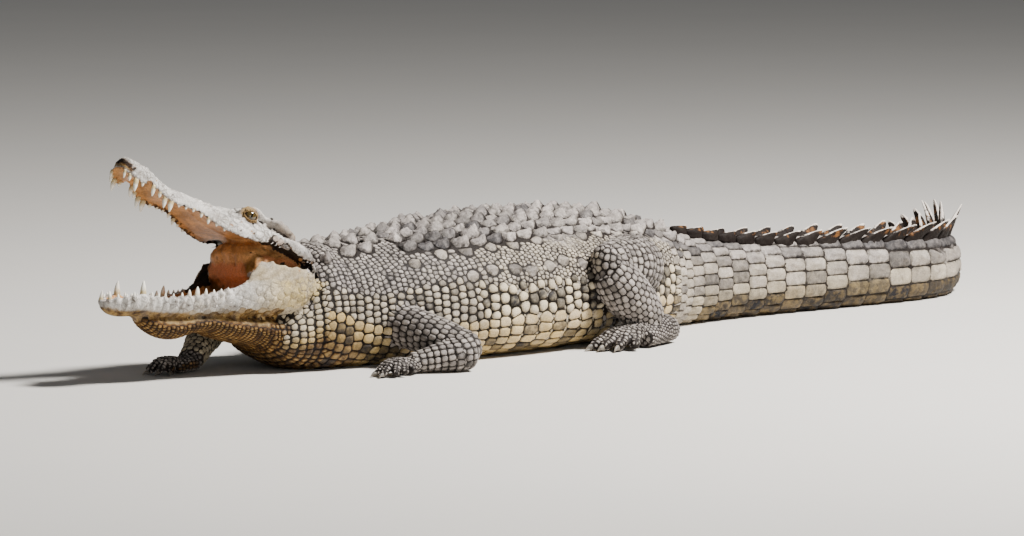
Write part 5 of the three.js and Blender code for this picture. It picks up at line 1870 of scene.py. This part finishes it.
def hide_group():
    """The hide's colour by region, from the marks that scales and skin share."""
    tints = (
        "Back", "Flank", "Belly", "Pouch", "Crevice", "Dark", "Crust", "Worn", "Yellow", "Lining", "Throat",
    )
    inputs = [
        ("Place", "Vector"), ("Marks", "Color"), ("Darkness", "Float"), ("Zone", "Color"),
        ("Yellowness", "Float"), *((tint, "Color") for tint in tints),
    ]
    outputs = [(name, "Float") for name in ("Hollow", "Moist", "Clean", "Rings", "Cracked")]
    n, given = node_group("hide_regions", inputs, [("Color", "Color"), *outputs])
    place = given["Place"]
    back, flank, belly, pouch, crevice, dark = (given[tint] for tint in tints[:6])
    crusty, worn, yellow, wet, fold = (given[tint] for tint in tints[6:])
    rim, tint, under = n.split(given["Marks"])
    lining, throat, crust = n.split(given["Zone"])
    blotch = n.noise(place, 26.0, 4.0, 0.6, 0.6)

    def patchy(share, start):
        return n.times(share, n.step(blotch, 0.3, 0.6, start))

    # the back, the flank, the belly and the pouch, one into the next
    soft = n.scaled(n.math("SUBTRACT", blotch, 0.5), 0.16, under)
    # painted shade: patches of the back, strongest toward the scales' rims, darkened nearly to the crevice
    # colour
    back_low_shade = n.times(n.step(n.noise(place, 85.0, 4.0, 0.65), 0.42, 0.6), n.step(rim, 0.2, 0.75, 0.3))
    colour = n.mix(n.step(soft, 0.12, 0.36), n.mix(back_low_shade, back, n.mix(0.84, back, crevice)), flank)
    colour = n.mix(n.step(soft, 0.5, 0.68), colour, belly)
    muddy = n.step(n.noise(place, 48.0, 4.0, 0.65), 0.4, 0.62)
    bag = n.mix(muddy, n.mix(n.step(rim, 0.3, 0.85, 0.4, 0.0), pouch, belly), n.mix(0.55, pouch, crevice))
    colour = n.mix(n.step(under, 0.72, 0.85), colour, bag)
    # dark scales, painted shade along the rims and the head's own regions
    spots = n.scaled(n.step(n.noise(place, 60.0, 3.0, 0.6), 0.35, 0.6), 0.3, 0.7)
    colour = n.mix(n.times(given["Darkness"], spots), colour, dark)
    rim_shade = n.times(n.step(rim, 0.5, 1.0), n.step(n.noise(place, 58.0, 4.0, 0.7), 0.42, 0.6, 0.05, 0.8))
    colour = n.mix(rim_shade, colour, n.mix(0.7, dark, crevice))
    colour = n.mix(patchy(throat, 0.75), colour, bag)
    colour = n.mix(patchy(given["Yellowness"], 0.5), colour, yellow)
    colour = n.mix(n.times(crust, n.step(blotch, 0.3, 0.55, 0.5)), colour, crusty)
    # cracks, chips and pits of the dry crust
    plates = n.step(n.cells(place, 55.0, "DISTANCE_TO_EDGE"), 0.02, 0.16, 1.0, 0.0)
    chips = n.step(n.cells(place, 150.0, "DISTANCE_TO_EDGE"), 0.0, 0.06, 1.0, 0.0)
    pits = n.step(n.noise(place, 95.0, 4.0, 0.65), 0.56, 0.68)
    cracked = n.scaled(chips, 0.4, n.scaled(pits, 0.7, n.times(plates, 0.6)))
    broken = n.step(n.noise(place, 18.0, 3.0, 0.6), 0.35, 0.6, 0.3)
    cracked = n.times(n.times(cracked, n.most(crust, given["Yellowness"])), broken)
    colour = n.mix(cracked, colour, worn)
    broad = n.step(n.noise(place, 16.0, 5.0, 0.65), 0.35, 0.65, 0.74, 1.12)
    colour = n.shaded(colour, n.times(n.step(tint, 0.0, 1.0, 0.8, 1.16), broad))
    # the mouth's lining, freckled, and the fold in the throat
    stained = n.step(n.noise(place, 30.0, 5.0, 0.65, 0.5), 0.35, 0.65)
    mouth = n.mix(stained, wet, n.mix(0.45, wet, crevice))
    freckles = n.step(n.noise(place, 75.0, 3.0, 0.7), 0.56, 0.66, 0.0, 0.7)
    mouth = n.mix(freckles, mouth, n.mix(0.6, wet, crevice))
    sac = n.step(n.noise(place, 12.0, 3.0, 0.5), 0.46, 0.56)
    colour = n.mix(lining, colour, n.mix(throat, mouth, n.mix(sac, fold, pouch)))
    # the dark between the scales, darker skin with painted shade in the gaps, and what the bump and gloss need
    ragged = n.scaled(n.math("SUBTRACT", n.noise(place, 150.0, 3.0, 0.6), 0.5), 0.2, rim)
    hollow = n.step(ragged, 0.88, 1.03)
    clean = n.most(n.most(lining, throat), n.step(under, 0.62, 0.85, 0.0, 0.85))
    n.add("NodeGroupOutput", {
        "Color": n.mix(n.times(hollow, 0.97), colour, crevice), "Hollow": hollow, "Clean": clean,
        "Moist": n.times(lining, n.rest(hollow)), "Cracked": cracked,
        "Rings": n.times(n.math("SINE", n.times(rim, 34.0)), n.step(rim, 0.2, 0.55)),
    })


def new_material(name):
    material = bpy.data.materials.new(name)
    material.use_nodes = True
    n = Nodes(material.node_tree)
    place = n.add("TexCoord").outputs["Object"]
    return material, n, place


def finish_material(n, colour, roughness, height=None, distance=0.001, strength=0.6, **settings):
    """Ends a material: a principled surface, with a bump where it has one. The settings are plain values."""
    feeds = {"Base Color": colour, "Roughness": roughness}
    feeds.update({key.replace("_", " "): value for key, value in settings.items()})
    if height is not None:
        bump_feeds = {"Height": height, "Distance": distance, "Strength": strength}
        feeds["Normal"] = n.add("Bump", bump_feeds).outputs[0]
    surface = n.add("BsdfPrincipled", feeds)
    n.add("OutputMaterial", {"Surface": surface.outputs[0]})


def hide_material(name, tints, darkest):
    """Scaled hide: the regions' colours, dust, growth rings and fine grain."""
    material, n, place = new_material(name)
    marks, zone = n.marks(), n.marks("zone")
    hide = n.add("Group", {
        "Place": place, "Marks": marks["Color"], "Darkness": marks["Alpha"], "Zone": zone["Color"],
        "Yellowness": zone["Alpha"], "Back": tints.back, "Flank": tints.flank, "Belly": tints.belly,
        "Pouch": tints.pouch, "Crevice": tints.crevice, "Dark": darkest, "Crust": tints.crust,
        "Worn": tints.crust_worn, "Yellow": tints.jaw_yellow, "Lining": tints.mouth, "Throat": tints.throat,
    }, node_tree=bpy.data.node_groups["hide_regions"]).outputs
    dust = n.times(n.most(n.rest(n.most(hide["Clean"], marks["Alpha"])), 0.0), 0.3)
    grain = n.grain(place, hide["Color"], tints.dust, dust, hide["Hollow"])
    cracks = n.step(n.cells(place, 210.0, "DISTANCE_TO_EDGE"), 0.0, 0.12)
    height = n.scaled(hide["Rings"], 0.1, n.scaled(cracks, 0.35, grain["Height"]))
    height = n.scaled(hide["Cracked"], -0.9, height)
    rough = n.scaled(hide["Moist"], -0.2, n.scaled(grain["Dusty"], 0.3, 0.56))
    finish_material(n, grain["Color"], rough, height, 0.0016, 0.7, Specular_IOR_Level=0.22)
    return material


def crest_material(tints):
    """Dark red-brown horn with orange blotches, pale worn tips, and a painted highlight along the blades' upper
    front edges.
    """
    material, n, place = new_material("crest_horn")
    rise, tint, edge = n.split(n.marks()["Color"])
    streaks = n.noise(place, 120.0, 4.0, 0.6, 0.8)
    blotch = n.noise(place, 34.0, 4.0, 0.6, 0.5)
    warm = n.times(n.step(blotch, 0.53, 0.64), n.step(rise, 0.12, 0.3, 0.0, 0.85))
    colour = n.mix(warm, tints.crest, tints.crest_warm)
    # pale worn tips, and a painted highlight along the front edge of each blade's upper part
    worn = n.scaled(edge, n.step(rise, 0.15, 0.7, 0.0, 0.46), n.step(rise, 0.75, 1.0, 0.0, 0.5))
    ragged = n.scaled(n.math("SUBTRACT", streaks, 0.5), 0.9, n.scaled(tint, 0.12, worn))
    colour = n.mix(n.step(ragged, 0.26, 0.5), colour, tints.crest_tip)
    grain = n.grain(place, colour, tints.dust, 0.02)
    height, rough = n.scaled(streaks, 0.8, grain["Height"]), n.step(streaks, 0.3, 0.7, 0.5, 0.8)
    finish_material(n, grain["Color"], rough, height, 0.0016, 0.7, Specular_IOR_Level=0.15)
    return material


def tooth_material(tints):
    """Ivory that yellows towards the gum, with fine lengthwise lines."""
    material, n, place = new_material("ivory")
    along = n.split(n.marks()["Color"])[0]
    stain = n.noise(place, 140.0, 4.0, 0.6)
    share = n.step(n.scaled(n.math("SUBTRACT", stain, 0.5), 0.5, along), 0.3, 0.66)
    colour = n.mix(share, tints.tooth_root, tints.tooth)
    lines = n.noise(n.add("Mapping", {"Vector": place, "Scale": (900.0, 900.0, 120.0)}).outputs[0], 1.0, 2.0)
    finish_material(n, colour, n.step(stain, 0.3, 0.7, 0.22, 0.42), lines, 0.0004, 0.4)
    return material


def claw_material(tints):
    """Dark horn with dusty ridges."""
    material, n, place = new_material("claw_horn")
    along = n.split(n.marks()["Color"])[0]
    colour = n.mix(n.step(along, 0.5, 1.0, 0.0, 0.6), tints.claw, tints.claw_tip)
    grain = n.grain(place, colour, tints.dust, 0.35)
    finish_material(n, grain["Color"], n.step(along, 0.0, 1.0, 0.6, 0.4), grain["Height"], 0.0008, 0.6)
    return material


def tongue_material(tints):
    """Moist tongue, paler on its bumps."""
    material, n, place = new_material("tongue_skin")
    bumps = n.step(n.cells(place, 260.0), 0.1, 0.6, 1.0, 0.0)
    patches = n.step(n.noise(place, 28.0, 4.0, 0.6), 0.35, 0.65)
    colour = n.mix(patches, tints.throat, tints.mouth)
    colour = n.mix(n.times(bumps, 0.35), colour, tints.tongue_bumps)
    gloss = n.step(patches, 0.0, 1.0, 0.32, 0.5)
    finish_material(n, colour, gloss, bumps, 0.0012, 0.6, Subsurface_Weight=0.08)
    return material


PUPIL = (0.002, 0.002, 0.002)


def eye_material(tints):
    """Olive-gold iris with radiating flecks, a slit pupil and a dark rim, under a wet surface."""
    material, n, _ = new_material("wet_eye")
    x, y, _ = n.add("SeparateXYZ", {0: n.marks("gaze")["Color"]}).outputs
    out = n.math("SQRT", n.math("ADD", n.times(x, x), n.times(y, y)))
    round_ = n.add("CombineXYZ", {0: n.times(n.math("ARCTAN2", y, x), 7.0), 1: n.times(out, 3.0)}).outputs[0]
    flecks = n.noise(round_, 1.0, 4.0, 0.7)
    iris = n.mix(n.step(flecks, 0.3, 0.72), tints.iris_dark, tints.iris)
    iris = n.mix(n.step(out, 0.62, 0.74), iris, tints.eye_rim)
    width = n.times(n.math("SQRT", n.most(n.math("SUBTRACT", 0.25, n.times(y, y)), 0.0)), 0.22)
    slit = n.step(n.math("SUBTRACT", n.math("ABSOLUTE", x), width), -0.012, 0.012)
    slit = n.most(slit, n.math("GREATER_THAN", n.math("ABSOLUTE", y), 0.5))
    colour, gloss = n.mix(slit, PUPIL, iris), n.step(flecks, 0.0, 1.0, 0.06, 0.1)
    finish_material(n, colour, gloss, flecks, 0.0002, 0.15, Coat_Weight=0.8, Coat_Roughness=0.03)
    return material


def floor_material(tints):
    """Plain pale studio floor with a faint unevenness."""
    material, n, place = new_material("pale_floor")
    cloud = n.noise(place, 1.2, 4.0, 0.5)
    colour = n.mix(n.step(cloud, 0.3, 0.7, 0.0, 0.12), tints.floor, (0.5, 0.49, 0.47))
    finish_material(n, colour, n.step(cloud, 0.3, 0.7, 0.8, 0.9), n.noise(place, 300.0, 2.0), 0.0002, 0.2)
    return material


# ---------- what a user may change
def tone(red, green, blue):
    """A screen colour, 0 to 255, as the linear colour that materials hold."""
    return tuple(
        c / 12.92 if c <= 0.04045 else ((c + 0.055) / 1.055) ** 2.4
        for c in (red / 255, green / 255, blue / 255)
    )


def colour_setting(label, about, *screen):
    return bpy.props.FloatVectorProperty(
        name=label, description=about, size=3, subtype="COLOR", min=0.0, max=1.0, default=tone(*screen)
    )


class CrocodileSizes(bpy.types.PropertyGroup):
    """How finely the animal is made"""

    voxel: bpy.props.FloatProperty(
        name="Skin grid", description="Cell size that the body parts are merged at",
        default=0.0045, min=0.003, max=0.02, unit="LENGTH",
    )
    skin_triangles: bpy.props.IntProperty(
        name="Skin triangles", description="The skin is thinned to about this many", default=188000, min=20000
    )
    seed: bpy.props.IntProperty(name="Seed", description="Start of the random numbers", default=11, min=0)


class CrocodileColours(bpy.types.PropertyGroup):
    """The animal's colours"""

    back: colour_setting("Back", "Shields of the back", 166, 157, 152)
    flank: colour_setting("Flank", "Domed scales of the flanks", 208, 192, 162)
    belly: colour_setting("Belly", "Plates of the belly and throat", 200, 170, 108)
    pouch: colour_setting("Pouch", "Skin under the jaw", 104, 68, 20)
    # near black: the skin between the scales, with painted shade in gaps, creases and hollows
    crevice: colour_setting("Crevices", "Skin between the scales", 22, 14, 9)
    dark: colour_setting("Dark scales", "Scattered dark scales", 30, 30, 36)
    limb_dark: colour_setting("Dark limbs", "Scales of the limbs", 50, 46, 43)
    crust: colour_setting("Head crust", "Dry crust of the snout and jaws", 220, 216, 210)
    crust_worn: colour_setting("Worn crust", "Cracks and pits of the crust", 92, 82, 74)
    jaw_yellow: colour_setting("Jaw", "Rear of the lower jaw", 206, 181, 116)
    dust: colour_setting("Dust", "Dried mud", 206, 196, 182)
    mouth: colour_setting("Mouth", "Lining of the mouth", 206, 148, 90)
    throat: colour_setting("Throat", "Throat fold", 200, 126, 82)
    tongue_bumps: colour_setting("Tongue", "Bumps of the tongue", 214, 170, 130)
    crest: colour_setting("Crest", "Sides of the crest's blades", 18, 9, 6)
    crest_warm: colour_setting("Crest blotches", "Orange blotches of the crest", 118, 78, 40)
    crest_tip: colour_setting("Crest tips", "Worn tips of the blades", 214, 204, 194)
    tooth: colour_setting("Teeth", "Crowns of the teeth", 240, 236, 222)
    tooth_root: colour_setting("Tooth roots", "Teeth by the gum", 196, 176, 132)
    claw: colour_setting("Claws", "Horn of the claws", 52, 46, 40)
    claw_tip: colour_setting("Claw tips", "Worn ends of the claws", 132, 120, 104)
    iris: colour_setting("Iris", "Bright flecks of the iris", 92, 74, 34)
    iris_dark: colour_setting("Iris depths", "Dark flecks of the iris", 42, 34, 16)
    eye_rim: colour_setting("Eye rim", "Eyeball beyond the iris", 44, 34, 24)
    floor: colour_setting("Floor", "Studio floor", 214, 210, 204)


class StudioSizes(bpy.types.PropertyGroup):
    """Camera, floor and lights"""

    lens: bpy.props.FloatProperty(
        name="Lens", description="Focal length of the camera", default=277.7, min=20.0, unit="CAMERA"
    )
    camera_distance: bpy.props.FloatProperty(
        name="Camera distance", description="From the origin to the camera", default=20.0, min=1.0,
        unit="LENGTH",
    )
    camera_aim: bpy.props.FloatVectorProperty(
        name="Aim", description="What the camera looks at", default=(0.0227, 0.0035, 0.1838),
        subtype="TRANSLATION", unit="LENGTH",
    )
    floor_reach: bpy.props.FloatProperty(
        name="Floor", description="Half width of the floor", default=60.0, min=5.0, unit="LENGTH"
    )
    key: bpy.props.FloatProperty(
        name="Key light", description="Large soft light above", default=1280.0, min=0.0, unit="POWER"
    )
    fill: bpy.props.FloatProperty(
        name="Fill light", description="Low soft light beside the camera", default=110.0, min=0.0,
        unit="POWER",
    )
    sky: bpy.props.FloatProperty(
        name="Room light", description="Even light from all round", default=0.11, min=0.0
    )


# ---------- the operators
def settle(piece, slot, material, *nodes):
    """Finishes a piece: its material, the body it rides on and the solids that it stands for. The slot is not
    used.
    """
    piece.data.materials.clear()
    piece.data.materials.append(material)
    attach(piece, "root")
    if nodes:
        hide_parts(*nodes)
    return piece


class CROCODILE_OT_studio(bpy.types.Operator):
    """Sets the camera, the pale floor and soft lights"""

    bl_idname = "crocodile.studio"
    bl_label = "Studio"

    def execute(self, context):
        sizes, tints = context.scene.crocodile_studio, context.scene.crocodile_colours
        build_camera(sizes)
        bpy.ops.object.select_all(action="DESELECT")
        bpy.ops.mesh.primitive_plane_add(size=2 * sizes.floor_reach)
        floor = context.object
        floor.name = "floor"
        floor.data.transform(floor.matrix_world)
        floor.data.materials.append(floor_material(tints))
        area_light("key", (1.5, -3.3, 5.2), 1.3, sizes.key, (1.0, 0.98, 0.95))
        area_light("fill", (-6.0, -8.5, 3.2), 5.0, sizes.fill, (0.95, 0.98, 1.0))
        world = bpy.data.worlds.new("room")
        world.use_nodes = True
        background = world.node_tree.nodes["Background"]
        background.inputs["Color"].default_value = (0.9, 0.95, 1.0, 1.0)
        background.inputs["Strength"].default_value = sizes.sky
        context.scene.world = world
        return {"FINISHED"}


class CROCODILE_OT_finishes(bpy.types.Operator):
    """Makes the shared node groups and the hide materials"""

    bl_idname = "crocodile.finishes"
    bl_label = "Finishes"

    def execute(self, context):
        tints = context.scene.crocodile_colours
        grain_group()
        hide_group()
        MADE["hide"] = hide_material("hide", tints, tints.dark)
        MADE["limb_hide"] = hide_material("limb_hide", tints, tints.limb_dark)
        return {"FINISHED"}


class CROCODILE_OT_skin(bpy.types.Operator):
    """Makes the one skin that stands for all the solids of flesh"""

    bl_idname = "crocodile.skin"
    bl_label = "Skin"

    def execute(self, context):
        sizes = context.scene.crocodile_sizes
        skin = build_skin(sizes.voxel, sizes.skin_triangles)
        lids = mesh_object("lids", *merge([lid_shell(1), lid_shell(-1)]))
        only(skin)
        lids.select_set(True)
        bpy.ops.object.join()
        MADE["skin"] = settle(skin, "back_hide", MADE["hide"], *FLESH)
        return {"FINISHED"}


# Each field of scales: points round each scale, and its rings from the rim inwards.
FINENESS = {
    "small": (12, (1.0, 0.96, 0.82, 0.56, 0.28)),
    "shields": (24, (1.0, 0.97, 0.88, 0.72, 0.5, 0.26)),
    "tail": (28, (1.0, 0.97, 0.88, 0.7, 0.45, 0.22)),
    "limbs": (12, (1.0, 0.95, 0.75, 0.4)),
    "head": (12, (1.0, 0.95, 0.75, 0.4)),
}


# The most triangles in one piece of scales.
PIECE_TRIANGLES = 190000


def scale_pieces(grown):
    """Each piece's name, field, chosen scales, slot and material."""
    pieces = []
    for label, name, group in (
        ("back_shields", "shields", BACK), ("flank_scales", "small", FLANK), ("neck_scales", "small", NECK),
        ("belly_plates", "small", BELLY), ("tail_rings", "tail", TAIL),
    ):
        field = grown[name]
        left = field["chart"][:, 1] > 0
        for hand, side in (("left", left), ("right", ~left)):
            pieces.append((f"{label}_{hand}", field, (field["group"] == group) & side, "back_hide", "hide"))
    for label, name, group, slot, material in (
        ("limb_scales", "limbs", 0, "limb_hide", "limb_hide"),
        ("pouch_scales", "head", POUCH_SCALES, "pouch", "hide"),
        ("jaw_plates", "head", JAW_SCALES, "back_hide", "hide"),
        ("crown_scales", "head", CROWN_SCALES, "back_hide", "hide"),
    ):
        pieces.append((label, grown[name], grown[name]["group"] == group, slot, material))
    return [(name, field, np.where(chosen)[0], *looks) for name, field, chosen, *looks in pieces]


class CROCODILE_OT_scales(bpy.types.Operator):
    """Sets every scale and shield on the skin, and gives the skin their marks"""

    bl_idname = "crocodile.scales"
    bl_label = "Scales"

    def execute(self, context):
        skin = MADE["skin"]
        ground = Ground(skin)
        rng = np.random.default_rng(context.scene.crocodile_sizes.seed)
        shields = back_shields(rng)
        fields = {
            "small": away_from(small_scales(rng), shields), "shields": shields, "tail": tail_scales(rng),
            "limbs": gather([limb_scales(name, leg, rng) for name, leg in LIMBS.items()]),
            "head": head_scales(rng),
        }
        fields = {name: land(table, ground) for name, table in fields.items()}
        for pitch in (16.0, 10.0):
            fill_bare(fields, ground, pitch, rng)
        grown = {}
        for name, fineness in FINENESS.items():
            around = gather([table for other, table in fields.items() if other != name])
            grown[name] = grow_scales(fields[name], around, ground, *fineness)
        mark_skin(skin, list(grown.values()))
        for name, field, chosen, slot, material in scale_pieces(grown):
            per = 2 * (len(field["quads"]) + len(field["fan"]))
            most = PIECE_TRIANGLES // per
            for k in range(0, len(chosen), most):
                label = name if len(chosen) <= most else f"{name}_{k // most + 1}"
                settle(scale_object(label, field, chosen[k:k + most]), slot, MADE[material])
        return {"FINISHED"}


class CROCODILE_OT_crest(bpy.types.Operator):
    """Makes the blades along the tail's top"""

    bl_idname = "crocodile.crest"
    bl_label = "Crest"

    def execute(self, context):
        rng = np.random.default_rng(context.scene.crocodile_sizes.seed + 1)
        settle(build_crest(rng), "back_hide", crest_material(context.scene.crocodile_colours))
        return {"FINISHED"}


class CROCODILE_OT_teeth(bpy.types.Operator):
    """Makes the teeth of both jaws"""

    bl_idname = "crocodile.teeth"
    bl_label = "Teeth"

    def execute(self, context):
        rng = np.random.default_rng(context.scene.crocodile_sizes.seed + 2)
        settle(build_teeth(rng), "back_hide", tooth_material(context.scene.crocodile_colours))
        return {"FINISHED"}


class CROCODILE_OT_tongue(bpy.types.Operator):
    """Makes the tongue between the lower jaws"""

    bl_idname = "crocodile.tongue"
    bl_label = "Tongue"

    def execute(self, context):
        settle(build_tongue(), "mouth", tongue_material(context.scene.crocodile_colours), "tongue")
        return {"FINISHED"}


class CROCODILE_OT_eyes(bpy.types.Operator):
    """Makes both eyeballs"""

    bl_idname = "crocodile.eyes"
    bl_label = "Eyes"

    def execute(self, context):
        material = eye_material(context.scene.crocodile_colours)
        for side, node in ((1, "left_eye"), (-1, "right_eye")):
            settle(eyeball(side), "eye", material, node)
        return {"FINISHED"}


class CROCODILE_OT_claws(bpy.types.Operator):
    """Makes the claws of the inner toes"""

    bl_idname = "crocodile.claws"
    bl_label = "Claws"

    def execute(self, context):
        nodes = [f"{leg}_claw_{i}" for leg in LIMBS for i in (1, 2, 3)]
        settle(build_claws(), "claw", claw_material(context.scene.crocodile_colours), *nodes)
        return {"FINISHED"}


class CROCODILE_PT_panel(bpy.types.Panel):
    """Lists the crocodile's pieces in the order that they are made"""

    bl_label = "Crocodile"
    bl_space_type = "VIEW_3D"
    bl_region_type = "UI"
    bl_category = "Crocodile"

    def draw(self, context):
        for operator in OPERATORS:
            self.layout.operator(operator.bl_idname)
        scene = context.scene
        for group in (scene.crocodile_sizes, scene.crocodile_studio, scene.crocodile_colours):
            box = self.layout.box()
            for key in group.bl_rna.properties.keys():
                if key not in ("rna_type", "name"):
                    box.prop(group, key)


GROUPS = (
    ("crocodile_sizes", CrocodileSizes), ("crocodile_colours", CrocodileColours),
    ("crocodile_studio", StudioSizes),
)
OPERATORS = (
    CROCODILE_OT_studio, CROCODILE_OT_finishes, CROCODILE_OT_skin, CROCODILE_OT_scales, CROCODILE_OT_crest,
    CROCODILE_OT_teeth, CROCODILE_OT_tongue, CROCODILE_OT_eyes, CROCODILE_OT_claws,
)


def register():
    for key, group in GROUPS:
        bpy.utils.register_class(group)
        setattr(bpy.types.Scene, key, bpy.props.PointerProperty(type=group))
    for made in (*OPERATORS, CROCODILE_PT_panel):
        bpy.utils.register_class(made)


def unregister():
    for made in (CROCODILE_PT_panel, *reversed(OPERATORS)):
        bpy.utils.unregister_class(made)
    for key, group in reversed(GROUPS):
        delattr(bpy.types.Scene, key)
        bpy.utils.unregister_class(group)


def main():
    register()
    for operator in OPERATORS:
        family, name = operator.bl_idname.split(".")
        getattr(getattr(bpy.ops, family), name)()


if __name__ == "__main__":
    main()
